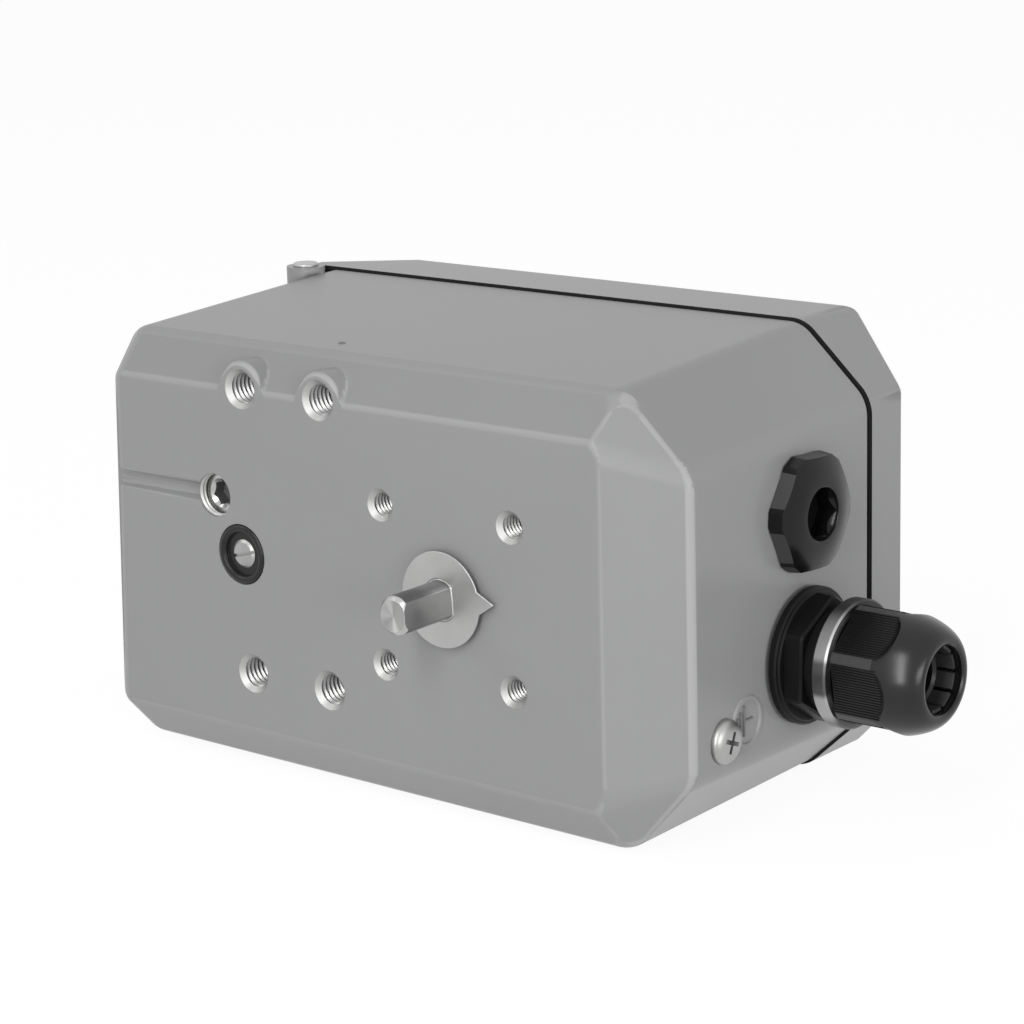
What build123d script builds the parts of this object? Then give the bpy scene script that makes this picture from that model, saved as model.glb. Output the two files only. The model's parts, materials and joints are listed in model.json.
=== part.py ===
from build123d import *
import math
import os

os.makedirs("parts", exist_ok=True)

# Electro-pneumatic valve positioner, millimetres.
# X runs towards the cable gland, Y from the mounting face into the case and Z up.
# The origin is where the feedback shaft's axis meets the mounting face.

# Case: outline of the mounting flat, of the crease behind the bevels and of the seam
crease_y = 9.0
seam_y = 76.0
flat_right = 40.8
flat_top = 38.0
flat_bottom = -39.4
crease_right = 57.5
crease_top = 47.3
crease_bottom = -48.7
seam_right = 55.5
seam_top = 50.3
seam_bottom = -51.0
left_back = -101.5
left_seam = -103.0
corner_leg_x = 16.8
corner_leg_z = 15.6
flat_corner_leg = 2.0
wall = 4.0
back_wall = 6.0
crease_radius = 2.5
top_crease_radius = 5.0
corner_radius = 8.0
facet_radius = 10.0
flat_radius = 3.0
left_radius = 6.0
facet_x = 46.0
edge_search = 0.3

# Cover
seam_gap = 1.6
cover_edge = 0.6
cover_side_y = 90.0
cover_front_y = 97.2
cover_left_side_y = 82.0
cover_bevel_run = 16.5
cover_wall = 4.0
cover_radius = 2.0
cover_left_overhang = 5.0
cover_left_bevel_run = 20.0
gasket_inset = 0.6
gasket_width = 2.0
gasket_groove = 1.4
gasket_left_inset = 3.7

# Hinge
hinge_outset = 0.5
hinge_y = 72.0
hinge_boss_radius = 4.7
hinge_boss_above = 1.2
hinge_boss_length = 15.0
hinge_pin_radius = 2.0
hinge_pin_head_radius = 3.1
hinge_pin_head = 0.8
hinge_end_play = 0.4
knuckle_web = 2.0
knuckle_relief = 0.6
rim_width = 8.6
rim_rib_depth = 16.0

# Fits
fit_gap = 0.05
running_gap = 0.04
loose_gap = 0.7

# Mounting holes in the back, drawn at the thread's major diameter
m6_pcd = 50.0
m6_radius = 3.0
m6_sink_radius = 3.6
m6_depth = 8.0
m6_boss_radius = 5.5
m8_radius = 4.0
m8_sink_radius = 4.5
m8_depth = 10.0
m8_boss_radius = 6.2
m8_foot_radius = 1.2
m8_boss_length = 12.0
m8_spacing_x = 23.0
m8_spacing_z = 65.0
m8_centre_x = -46.0
m8_centre_z = 6.0
boss_floor = 5.0

# Feedback shaft
shaft_radius = 4.25
journal_radius = 4.6
shaft_flat = 3.15
shaft_tip = 17.0
shaft_chamfer = 0.8
shaft_turn = 4.0
hub_radius = 9.5
hub_end = 26.0
bush_radius = 6.2
bush_length = 8.0
bush_start = 1.0
shaft_seal_width = 3.0
ring_width = 1.0
ring_radius = 6.6
ring_groove = 0.5
pointer_radius = 10.5
pointer_face = 2.0
pointer_thickness = 1.6
pointer_tip = 14.5
pointer_half_width = 2.6
pointer_shoulder = 10.0

# Gear train to the position sensor
gear_module = 0.8
gear_teeth = 40
pinion_teeth = 16
gear_width = 2.5
pinion_width = 4.0
gear_clear = 1.0
gear_hub_radius = 7.5
gear_hub_width = 5.0
gear_hole_radius = 2.2
tooth_backlash = 0.16
set_screw_radius = 1.5
sensor_post_radius = 3.4
sensor_posts = [(-25.0, 16.0), (25.0, 14.0), (-4.0, 36.0)]
bracket_ear = 1.4
bracket_y = 36.0
bracket_thickness = 1.5
pot_radius = 9.0
pot_length = 10.0
pot_shaft_radius = 3.0
pot_neck_radius = 4.5
pot_nut_across = 12.0
pot_nut_thickness = 2.0

# Blanking plug, vent groove and air port in the back
plug_x = -67.0
plug_z = 13.4
plug_radius = 4.9
plug_recess = 2.3
plug_length = 6.5
plug_socket = 5.0
plug_socket_depth = 3.5
groove_z = 13.7
groove_width = 4.9
groove_depth = 0.9
air_port_x = -59.4
air_port_z = 0.8
o_ring_radius = 5.9
o_ring_section = 1.0
o_ring_proud = 0.4
slotted_plug_radius = 3.25
slotted_plug_sink = 0.4
slotted_plug_length = 6.0
slot_width = 0.9
slot_depth = 0.9
seal_lip = 0.6
passage_radius = 2.0

# Air block inside the case
pad_y = 14.0
manifold_gasket_thickness = 1.5
block_inset = 11.5
block_width = 36.0
block_bottom = -16.0
block_top = 28.0
block_y = 52.0
block_screw_inset = 4.0
block_chamfer = 2.0
port_y = 40.0
port_z = [-9.0, 15.0]
port_radius = 6.6
port_boss_radius = 10.0
converter_radius = 13.0
converter_height = 15.0
converter_base = 3.0
converter_screw_reach = 17.0

# Vent plug on the left wall
vent_y = 20.0
vent_z = 24.0
vent_thread_radius = 6.0
vent_cap_radius = 8.5
vent_cap_height = 7.2
vent_pad = 0.3
vent_thread_length = 6.0

# Cable entries on the right wall
entry_y = 50.0
entry_pitch = 31.2
entry_mid_z = 0.4
entry_pad = 0.4
entry_boss_depth = 8.5
entry_boss_half = 14.0
entry_boss_radius = 13.0
entry_pad_radius = 12.4
entry_thread_radius = 10.0
entry_seal = 0.8
gland_flange_radius = 14.9
gland_flange = 2.4
gland_hex_length = 4.2
gland_collar_radius = 11.2
gland_collar_length = 3.4
gland_hex_across = 24.4
gland_ring_radius = 13.9
gland_ring_length = 3.4
gland_ring_edge = 0.4
gland_nut_gap = 0.5
gland_nut_hex = 10.5
gland_dome_length = 9.5
gland_dome_drop = 1.4
gland_dome_run = 2.4
gland_nut_wall = 1.4
gland_lip = 0.9
gland_dome_radius = 12.8
gland_mouth_radius = 7.3
gland_stub_radius = 8.9
gland_stub_length = 8.4
gland_insert_radius = 6.5
gland_cable_radius = 5.0
gland_insert_sink = 5.5
gland_insert_edge = 0.6
gland_insert_chamfer = 0.8
gland_finger_root = 2.0
gland_fingers = 10
gland_finger_gap = 0.9
gland_turn = 28.0
gland_nut_turn = 39.0
gland_corner_radius = 13.4
gland_cone = 7.5
blind_across = 24.5
blind_corner_radius = 13.25
blind_side = 3.3
blind_height = 5.0
blind_mouth_radius = 5.8
blind_socket = 10.0
blind_socket_depth = 4.0
blind_mouth_depth = 1.0
blind_seal = 0.6
blind_turn = -4.0

# Earth screws
earth_y = 19.5
earth_z = -26.3
earth_head_radius = 4.8
earth_head_height = 2.5
earth_shank_radius = 2.5
earth_shank_length = 8.0
earth_sink = 0.2
earth_boss_radius = 5.5
earth_boss_length = 10.0
inner_earth_x = 40.0
inner_earth_z = -2.0
inner_earth_y = 20.0

# Electronics
board_left = -56.0
board_right = 18.0
board_bottom = -40.0
board_top = 40.0
board_y = 56.0
board_thickness = 1.6
post_radius = 3.4
post_inset = 5.0
module_edge = 1.5
module_wall = 1.8
module_y = 70.0
display_x = [-44.0, -2.0]
display_z = [6.0, 32.0]
display_frame = 3.5
display_under = 0.1
button_x = [-38.0, -26.0, -14.0, -2.0]
button_z = -12.0
button_radius = 3.5
button_flange_radius = 4.6
button_flange = 1.5
button_proud = 1.8
button_stem_radius = 1.8
button_travel = 0.8
button_stop = 0.1
switch_side = 6.0
switch_height = 3.6
terminal_x = 31.0
terminal_half_depth = 7.0
terminal_poles = 8
terminal_pitch = 7.5
terminal_y = 46.0
terminal_height = 16.0
terminal_ear = 8.0
terminal_ear_height = 3.0
terminal_entry = 3.6
terminal_screw_radius = 2.2
terminal_screw_sink = 1.2
terminal_screw_length = 5.0

# Cover screws and window
cover_screw_x = 43.0
cover_screw_in = 13.6
cover_screw_seat = 6.2
cover_screw_radius = 2.0
cover_screw_head_radius = 4.0
cover_screw_head = 3.2
cover_screw_grip = 6.0
cover_boss_radius = 5.0
cover_post_radius = 5.6
window_x = [-50.0, 4.0]
window_z = [0.0, 38.0]
window_lap = 4.0
window_thickness = 3.0
window_seal_thickness = 1.0
window_frame_thickness = 1.5
window_screw_out = 8.0
window_screw_in = 6.0

# Fasteners inside: M3 and M4
m3_radius = 1.5
m3_head_radius = 2.8
m3_head = 1.8
m4_radius = 2.0
m4_head_radius = 3.5
m4_head = 2.4
screw_grip = 6.0

# Values worked out from the sizes above
left_lean = (left_seam - left_back) / seam_y
right_lean = (seam_right - crease_right) / (seam_y - crease_y)
hinge_x = left_seam - hinge_outset
cover_left = left_seam - cover_left_overhang
cover_front_left = cover_left + cover_left_bevel_run
gasket_left = left_seam + gasket_left_inset
rim_left = left_seam + rim_width
rim_rib_y = seam_y - rim_rib_depth
block_left = left_back + block_inset
block_right = block_left + block_width
vent_face_x = left_back + left_lean * vent_y - vent_pad
entry_face_x = crease_right + right_lean * (entry_y - crease_y) + entry_pad
entry_boss_x = entry_face_x - entry_boss_depth
earth_face_x = crease_right + right_lean * (earth_y - crease_y) - earth_sink
post_foot_y = back_wall - 1.0
m6_half = m6_pcd / 2 * math.sin(math.radians(45))
m6_points = [(x, z) for x in (-m6_half, m6_half) for z in (-m6_half, m6_half)]
m8_top_points = [(m8_centre_x + side * m8_spacing_x / 2, m8_centre_z + m8_spacing_z / 2) for side in (-1, 1)]
m8_low_points = [(x, z - m8_spacing_z) for x, z in m8_top_points]
cover_rim_y = seam_y + seam_gap
cover_top = seam_top + cover_edge
cover_bottom = seam_bottom - cover_edge
cover_right = seam_right + cover_edge
gear_radius = gear_module * gear_teeth / 2
pinion_radius = gear_module * pinion_teeth / 2
gear_distance = gear_radius + pinion_radius
ring_y = hub_end + 0.1
gear_y = hub_end + ring_width + gear_clear
pinion_y = gear_y - (pinion_width - gear_width) / 2
shaft_end_y = gear_y + gear_width + gear_hub_width
gland_z = entry_mid_z - entry_pitch / 2
blind_z = entry_mid_z + entry_pitch / 2
board_face_y = board_y + board_thickness
module_under_y = module_y - module_wall
seam_mid_z = (seam_top + seam_bottom) / 2
cover_screw_points = [
    (cover_screw_x, seam_top - cover_screw_in),
    (cover_screw_x, seam_bottom + cover_screw_in),
]
board_post_points = [
    (x, z)
    for x in (board_left + post_inset, board_right - post_inset)
    for z in (board_bottom + post_inset, board_top - post_inset)
]
terminal_half_length = terminal_poles * terminal_pitch / 2
terminal_post_points = [(terminal_x, side * (terminal_half_length + terminal_ear / 2)) for side in (-1, 1)]
block_screw_points = [
    (x, z)
    for x in (block_left + block_screw_inset, block_right - block_screw_inset)
    for z in (block_bottom + block_screw_inset, block_top - block_screw_inset)
]
hinge_top_z = seam_top + hinge_boss_above
pin_low_z = seam_bottom + 1
knuckle_low_z = seam_bottom + hinge_boss_length
knuckle_high_z = hinge_top_z - hinge_boss_length
air_port = (air_port_x, air_port_z)
block_mid_x = (block_left + block_right) / 2
block_mid_z = (block_bottom + block_top) / 2
block_foot_y = pad_y + manifold_gasket_thickness
port_points = [(port_y, z) for z in port_z]
converter_points = [(block_mid_x, block_mid_z + side * converter_screw_reach) for side in (-1, 1)]
vent_end_x = vent_face_x - entry_seal - vent_cap_height
blind_head_x = entry_face_x + blind_seal
gland_seat_x = entry_face_x + entry_seal
gland_flange_x = gland_seat_x + gland_flange
gland_hex_x = gland_flange_x + gland_hex_length
gland_collar_x = gland_hex_x + gland_collar_length
gland_ring_x = gland_collar_x + gland_ring_length
gland_nut_x = gland_ring_x + gland_nut_gap
gland_nut_hex_x = gland_nut_x + gland_nut_hex
gland_nut_end_x = gland_nut_hex_x + gland_dome_length
gland_stub_x = gland_collar_x + gland_stub_length
gland_insert_x = gland_nut_end_x - gland_insert_sink
gland_cone_x = gland_nut_end_x - gland_cone
gland_lip_x = gland_nut_end_x - gland_lip
gland_skirt_radius = gland_ring_radius - gland_nut_wall
cover_inner_y = cover_front_y - cover_wall
cover_screw_seat_y = cover_front_y - cover_screw_seat
window_mid = (sum(window_x) / 2, sum(window_z) / 2)
window_width = window_x[1] - window_x[0]
window_height = window_z[1] - window_z[0]
window_back_y = cover_inner_y - window_seal_thickness - window_thickness
window_screw_points = [
    (x, z)
    for x in (window_x[0] - window_screw_out, window_x[1] + window_screw_out)
    for z in (window_z[0] + window_screw_in, window_z[1] - window_screw_in)
]
set_screw_y = gear_y + gear_width + gear_hub_width / 2
pot_nut_y = bracket_y - pot_nut_thickness
board_mid_x = (board_left + board_right) / 2
board_mid_z = (board_bottom + board_top) / 2
module_width = board_right - board_left + 2 * (module_edge + module_wall)
module_height = board_top - board_bottom + 2 * (module_edge + module_wall)
display_mid = (sum(display_x) / 2, sum(display_z) / 2)
display_width = display_x[1] - display_x[0]
display_height = display_z[1] - display_z[0]
terminal_pole_points = [
    (terminal_x, (index - (terminal_poles - 1) / 2) * terminal_pitch) for index in range(terminal_poles)
]


def depth_plane(y):
    return Plane(origin=(0, y, 0), x_dir=(1, 0, 0), z_dir=(0, -1, 0))


def turned_depth_plane(y):
    # Depth plane turned with the shaft, its X along the pointer
    turn = math.radians(shaft_turn)
    return Plane(origin=(0, y, 0), x_dir=(math.cos(turn), 0, math.sin(turn)), z_dir=(0, -1, 0))


def right_plane(x):
    return Plane(origin=(x, 0, 0), x_dir=(0, 1, 0), z_dir=(1, 0, 0))


def trimmed_form(planes, low, high):
    # A convex form: a box cut back by each plane, given as a point and an outward normal
    with BuildPart() as form:
        with Locations(tuple((a + b) / 2 for a, b in zip(low, high))):
            Box(high[0] - low[0], high[1] - low[1], high[2] - low[2])
        for point, normal in planes:
            split(bisect_by=Plane(origin=point, z_dir=normal), keep=Keep.BOTTOM)
    return form.part


def inset_planes(planes, inset):
    moved = []
    for point, normal in planes:
        outward = Vector(*normal).normalized()
        moved.append((tuple(Vector(*point) - outward * inset), normal))
    return moved


def case_planes():
    flat_top_corner = (flat_right - flat_corner_leg, 0, flat_top)
    flat_low_corner = (flat_right - flat_corner_leg, 0, flat_bottom)
    top_normal = normal_through(
        (seam_right - corner_leg_x, seam_y, seam_top),
        (seam_right, seam_y, seam_top - corner_leg_z),
        (crease_right - corner_leg_x, crease_y, crease_top),
    )
    low_normal = normal_through(
        (seam_right - corner_leg_x, seam_y, seam_bottom),
        (seam_right, seam_y, seam_bottom + corner_leg_z),
        (crease_right - corner_leg_x, crease_y, crease_bottom),
    )
    top_crease = (crease_right - corner_leg_x, crease_y, crease_top)
    low_crease = (crease_right - corner_leg_x, crease_y, crease_bottom)
    top_side = (crease_right, crease_y, crease_top - corner_leg_z)
    top_facet = normal_through(top_crease, top_side, flat_top_corner)
    low_side = (crease_right, crease_y, crease_bottom + corner_leg_z)
    low_facet = normal_through(low_crease, low_side, flat_low_corner)
    draft_top = seam_top - crease_top
    draft_bottom = crease_bottom - seam_bottom
    draft_right = crease_right - seam_right
    length = seam_y - crease_y
    return [
        ((0, 0, flat_top), (0, flat_top - crease_top, crease_y)),
        ((0, crease_y, crease_top), (0, -draft_top, length)),
        ((0, 0, flat_bottom), (0, crease_bottom - flat_bottom, -crease_y)),
        ((0, crease_y, crease_bottom), (0, -draft_bottom, -length)),
        ((flat_right, 0, 0), (crease_y, flat_right - crease_right, 0)),
        ((crease_right, crease_y, 0), (length, draft_right, 0)),
        ((left_back, 0, 0), (-seam_y, left_seam - left_back, 0)),
        (top_crease, top_normal),
        (low_crease, low_normal),
        (top_crease, top_facet),
        (low_crease, low_facet),
    ]


def normal_through(a, b, c):
    # Normal of the plane through three points, turned away from the case's middle
    normal = (Vector(*b) - Vector(*a)).cross(Vector(*c) - Vector(*a))
    middle = Vector(0, seam_y / 2, 0)
    if normal.dot(Vector(*a) - middle) < 0:
        normal = normal * -1
    return tuple(normal)


def cylinders(plane, points, radius, length):
    with BuildPart() as group:
        with BuildSketch(plane):
            with Locations(*points):
                Circle(radius)
        extrude(amount=length)
    return group.part


def posts(points, radius, top_y):
    # Round posts from the back wall's inner face
    return cylinders(depth_plane(post_foot_y), points, radius, post_foot_y - top_y)


def turned_along_x(profile, y, z):
    # Turned piece on an axis along X, its profile given as (x, radius)
    axis = Axis((0, y, z), (1, 0, 0))
    with BuildPart() as piece:
        with BuildSketch(Plane(origin=(0, y, z), x_dir=(1, 0, 0), z_dir=(0, 0, 1))):
            with BuildLine():
                Polyline(*profile, close=True)
            make_face()
        revolve(axis=axis)
    return piece.part


def turned_along_y(profile):
    # Turned piece on the Y axis, its profile given as (radius, y)
    with BuildPart() as piece:
        with BuildSketch(Plane.XY):
            with BuildLine():
                Polyline(*profile, close=True)
            make_face()
        revolve(axis=Axis.Y)
    return piece.part


def on_back(points):
    return [(x, 0, z) for x, z in points]


def at_depth(points, y):
    return [(x, y, z) for x, z in points]


def drilled_hole(radius, sink_radius, depth):
    # Blind hole along +Y from its mouth at the origin, with a countersink and a drill point
    with BuildPart() as hole:
        with BuildSketch(Plane.XY):
            with BuildLine():
                Polyline(
                    (0, -1),
                    (sink_radius, -1),
                    (sink_radius, 0),
                    (radius, sink_radius - radius),
                    (radius, depth),
                    (0, depth + radius / math.tan(math.radians(59))),
                    close=True,
                )
            make_face()
        revolve(axis=Axis.Y)
    return hole.part


def tube(outer, inner, length):
    # Ring along +Y from the origin
    with BuildPart() as ring:
        with BuildSketch(depth_plane(0)):
            Circle(outer)
            Circle(inner, mode=Mode.SUBTRACT)
        extrude(amount=-length)
    return ring.part


def headed_screw(head_radius, head_height, shank_radius, length):
    # Screw with its head on +Y and its shank along -Y from the origin
    with BuildPart() as screw:
        with BuildSketch(Plane.XY):
            with BuildLine():
                Polyline(
                    (0, -length),
                    (shank_radius, -length),
                    (shank_radius, 0),
                    (head_radius, 0),
                    (head_radius, head_height * 0.7),
                    (head_radius * 0.8, head_height),
                    (0, head_height),
                    close=True,
                )
            make_face()
        revolve(axis=Axis.Y)
    return screw.part


def copies(piece, places):
    with BuildPart() as group:
        with Locations(*places):
            add(piece)
    return group.part


def seam_outline(inset, left):
    # Outline of the case's rim, inset all round, with its left side at a given X
    top = seam_top - inset
    bottom = seam_bottom + inset
    right = seam_right - inset
    run = inset * (1 + corner_leg_x / corner_leg_z - math.hypot(corner_leg_x, corner_leg_z) / corner_leg_z)
    rise = run * corner_leg_z / corner_leg_x
    return [
        (left, top),
        (right - corner_leg_x + run, top),
        (right, top - corner_leg_z + rise),
        (right, bottom + corner_leg_z - rise),
        (right - corner_leg_x + run, bottom),
        (left, bottom),
    ]


def gasket_ring(slack):
    outer = seam_outline(gasket_inset - slack, gasket_left - slack)
    inner = seam_outline(gasket_inset + gasket_width + slack, gasket_left + gasket_width + slack)
    with BuildSketch() as ring:
        with BuildLine():
            Polyline(*outer, close=True)
        make_face()
        with BuildLine():
            Polyline(*inner, close=True)
        make_face(mode=Mode.SUBTRACT)
        fillet(ring.vertices().filter_by(lambda v: v.X > 0), corner_radius - gasket_inset)
    return ring.sketch


def gear_form(teeth, width, bore, mesh_angle):
    # Spur gear along +Y from the origin, with a tooth at mesh_angle in the XZ plane
    pitch = gear_module * teeth / 2
    base = pitch * math.cos(math.radians(20))
    tip = pitch + gear_module
    root = pitch - 1.25 * gear_module
    half_at_pitch = math.pi / 2 / teeth - tooth_backlash / 2 / pitch
    inv_pitch = math.tan(math.radians(20)) - math.radians(20)

    def half_angle(radius):
        if radius <= base:
            return half_at_pitch + inv_pitch
        pressure = math.acos(base / radius)
        return half_at_pitch + inv_pitch - (math.tan(pressure) - pressure)

    radii = [root - 0.2, base if base > root else root, pitch, tip]
    side = [(r * math.cos(half_angle(r)), r * math.sin(half_angle(r))) for r in radii]
    other = [(x, -y) for x, y in reversed(side)]
    with BuildSketch(Plane.XY) as tooth:
        with BuildLine():
            Polyline(*side, *other, close=True)
        make_face()
    with BuildPart() as gear:
        with BuildSketch(depth_plane(0)):
            Circle(root)
            with PolarLocations(0, teeth, start_angle=mesh_angle):
                add(tooth.sketch)
            Circle(bore, mode=Mode.SUBTRACT)
        extrude(amount=-width)
    return gear.part


def save(piece, name):
    piece.label = name
    export_step(piece, "parts/" + name + ".step")


# Housing: cast case with its bosses, posts and holes
case_low = (left_seam - 1, 0, seam_bottom - 1)
case_high = (crease_right + 1, seam_y, seam_top + 1)
outer_form = trimmed_form(case_planes(), case_low, case_high)
cavity_low = (left_seam - 1, back_wall, seam_bottom - 1)
cavity_high = (crease_right + 1, seam_y + 1, seam_top + 1)
cavity_form = trimmed_form(inset_planes(case_planes(), wall), cavity_low, cavity_high)

def edges_at(form, x_from, x_to, y_from, y_to, shortest=0.0):
    # Edges whose middle lies between the given X and Y
    return form.edges().filter_by(
        lambda e: x_from < e.position_at(0.5).X < x_to
        and y_from < e.position_at(0.5).Y < y_to
        and e.length > shortest
    )


def near_boss(edge):
    # True where an edge's middle lies on the foot of one of the bosses in the upper bevel
    middle = edge.position_at(0.5)
    return any(math.hypot(middle.X - x, middle.Z - z) < m8_boss_radius + fit_gap for x, z in m8_top_points)


# Outer form of the case with its soft edges, the widest blends before the narrow ones
with BuildPart() as soft_form:
    add(outer_form)
    crease_from = crease_y - edge_search
    crease_to = crease_y + edge_search
    fillet(edges_at(soft_form, left_seam, 0, crease_from, crease_to), top_crease_radius)
    fillet(edges_at(soft_form, 0, crease_right, 2 * crease_y, seam_y - crease_y), corner_radius)
    fillet(edges_at(soft_form, facet_x, crease_right, edge_search, crease_from), facet_radius)
    right_crease = edges_at(soft_form, facet_x, crease_right + 1, crease_from, crease_to, crease_radius * 2)
    fillet(right_crease, crease_radius)
    fillet(edges_at(soft_form, left_back + 1, crease_right, -1, fit_gap), flat_radius)
    left_x = left_back + edge_search
    fillet(edges_at(soft_form, left_seam - 1, left_x, -1, seam_y - 1, left_radius), left_radius)
    smooth_edges = soft_form.edges()
    add(cylinders(depth_plane(0), m8_top_points, m8_boss_radius, -m8_boss_length))
    boss_foot = soft_form.edges().filter_by(
        lambda e: e not in smooth_edges and near_boss(e) and e.position_at(0.5).Y > edge_search
    )
    fillet(boss_foot, m8_foot_radius)

with BuildPart() as inner_features:
    add(posts([(0, 0)], hub_radius, hub_end))
    add(posts(m6_points, m6_boss_radius, m6_depth + boss_floor))
    add(posts(m8_low_points + m8_top_points, m8_boss_radius, m8_depth + boss_floor))
    add(posts(sensor_posts, sensor_post_radius, bracket_y))
    add(posts(board_post_points, post_radius, board_y))
    add(posts(terminal_post_points, post_radius, terminal_y))
    add(posts([(inner_earth_x, inner_earth_z)], post_radius, inner_earth_y))
    add(posts(cover_screw_points, cover_boss_radius, seam_y))
    with BuildSketch(depth_plane(post_foot_y)):
        with Locations((block_mid_x, block_mid_z)):
            Rectangle(block_right - block_left, block_top - block_bottom)
    extrude(amount=-(pad_y - post_foot_y))
    with BuildSketch(right_plane(entry_boss_x)):
        with Locations((entry_y, entry_mid_z)):
            RectangleRounded(2 * entry_boss_half, entry_pitch + 2 * entry_boss_half, entry_boss_radius)
    extrude(amount=crease_right - entry_boss_x)
    add(cylinders(right_plane(left_seam), port_points, port_boss_radius, block_left - left_seam))
    add(cylinders(right_plane(left_seam), [(vent_y, vent_z)], vent_cap_radius, vent_thread_length))
    earth_boss_plane = right_plane(earth_face_x - earth_boss_length)
    add(cylinders(earth_boss_plane, [(earth_y, earth_z)], earth_boss_radius, earth_boss_length))
    with BuildSketch(depth_plane(rim_rib_y)):
        with Locations(((left_seam + rim_left) / 2, seam_mid_z)):
            Rectangle(rim_left - left_seam, seam_top - seam_bottom)
    extrude(amount=-(seam_y - rim_rib_y))
    add(soft_form.part, mode=Mode.INTERSECT)

with BuildPart() as housing:
    add(soft_form.part)
    add(cavity_form, mode=Mode.SUBTRACT)
    add(inner_features.part)
    # Faces for the cable entries and the vent
    entry_points = [(entry_y, gland_z), (entry_y, blind_z)]
    add(cylinders(right_plane(entry_boss_x), entry_points, entry_pad_radius, entry_face_x - entry_boss_x))
    add(cylinders(right_plane(vent_face_x), [(vent_y, vent_z)], vent_cap_radius, wall))
    # Hinge bosses and the room for the cover's knuckle between them
    add(
        cylinders(
            Plane.XY.offset(knuckle_low_z),
            [(hinge_x, hinge_y)],
            hinge_boss_radius + knuckle_relief,
            knuckle_high_z - knuckle_low_z,
        ),
        mode=Mode.SUBTRACT,
    )
    hinge = [(hinge_x, hinge_y)]
    add(cylinders(Plane.XY.offset(knuckle_high_z), hinge, hinge_boss_radius, hinge_boss_length))
    add(cylinders(Plane.XY.offset(seam_bottom), hinge, hinge_boss_radius, hinge_boss_length))
    pin_drill = hinge_top_z + 1 - pin_low_z
    press_radius = hinge_pin_radius + fit_gap
    add(cylinders(Plane.XY.offset(pin_low_z), hinge, press_radius, pin_drill), mode=Mode.SUBTRACT)
    # Tapped holes in the back
    with Locations(*on_back(m6_points)):
        add(drilled_hole(m6_radius, m6_sink_radius, m6_depth), mode=Mode.SUBTRACT)
    with Locations(*on_back(m8_top_points + m8_low_points)):
        add(drilled_hole(m8_radius, m8_sink_radius, m8_depth), mode=Mode.SUBTRACT)
    with Locations((plug_x, 0, plug_z)):
        add(drilled_hole(plug_radius, plug_radius + fit_gap, plug_recess + plug_length), mode=Mode.SUBTRACT)
    # Round-bottomed groove from the left edge to the plug
    groove_arc = (groove_width**2 / 4 + groove_depth**2) / (2 * groove_depth)
    add(
        cylinders(
            right_plane(left_seam), [(groove_depth - groove_arc, groove_z)], groove_arc, plug_x - left_seam
        ),
        mode=Mode.SUBTRACT,
    )
    # Air port with its seal recess
    seal_depth = 2 * o_ring_section - o_ring_proud
    seal_radius = o_ring_radius + o_ring_section + fit_gap
    add(cylinders(depth_plane(0), [air_port], seal_radius, -seal_depth), mode=Mode.SUBTRACT)
    slotted_radius = slotted_plug_radius + fit_gap
    slotted_depth = slotted_plug_sink + slotted_plug_length
    add(cylinders(depth_plane(0), [air_port], slotted_radius, -slotted_depth), mode=Mode.SUBTRACT)
    add(cylinders(depth_plane(1), [air_port, (plug_x, plug_z)], passage_radius, -pad_y), mode=Mode.SUBTRACT)
    # Shaft bore
    add(cylinders(depth_plane(-1), [(0, 0)], bush_radius + fit_gap, -(hub_end + 2)), mode=Mode.SUBTRACT)
    # Side holes
    entry_drill = entry_boss_depth + 2
    entry_plane = right_plane(entry_boss_x - 1)
    add(cylinders(entry_plane, entry_points, entry_thread_radius, entry_drill), mode=Mode.SUBTRACT)
    port_drill = block_left + 2 - left_seam
    add(cylinders(right_plane(left_seam - 1), port_points, port_radius, port_drill), mode=Mode.SUBTRACT)
    vent_drill = vent_thread_length + 3
    add(
        cylinders(right_plane(vent_face_x - 1), [(vent_y, vent_z)], vent_thread_radius, vent_drill),
        mode=Mode.SUBTRACT,
    )
    earth_seat = cylinders(right_plane(earth_face_x), [(earth_y, earth_z)], earth_head_radius + fit_gap, 2)
    add(earth_seat, mode=Mode.SUBTRACT)
    earth_plane = right_plane(earth_face_x - earth_shank_length)
    earth_drill = earth_shank_length + 2
    add(
        cylinders(earth_plane, [(earth_y, earth_z)], earth_shank_radius + fit_gap, earth_drill),
        mode=Mode.SUBTRACT,
    )
    # Screw holes in the posts
    for points, radius, top_y in (
        (sensor_posts, m3_radius, bracket_y),
        (board_post_points, m3_radius, board_y),
        (terminal_post_points, m3_radius, terminal_y),
        ([(inner_earth_x, inner_earth_z)], m4_radius, inner_earth_y),
        (block_screw_points, m4_radius, pad_y),
    ):
        add(cylinders(depth_plane(top_y + 1), points, radius + fit_gap, screw_grip + 1), mode=Mode.SUBTRACT)
    loose_radius = cover_screw_radius + loose_gap
    loose_depth = cover_screw_grip + 3
    loose_plane = depth_plane(seam_y + 1)
    add(cylinders(loose_plane, cover_screw_points, loose_radius, loose_depth), mode=Mode.SUBTRACT)
save(housing.part, "housing")

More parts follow.
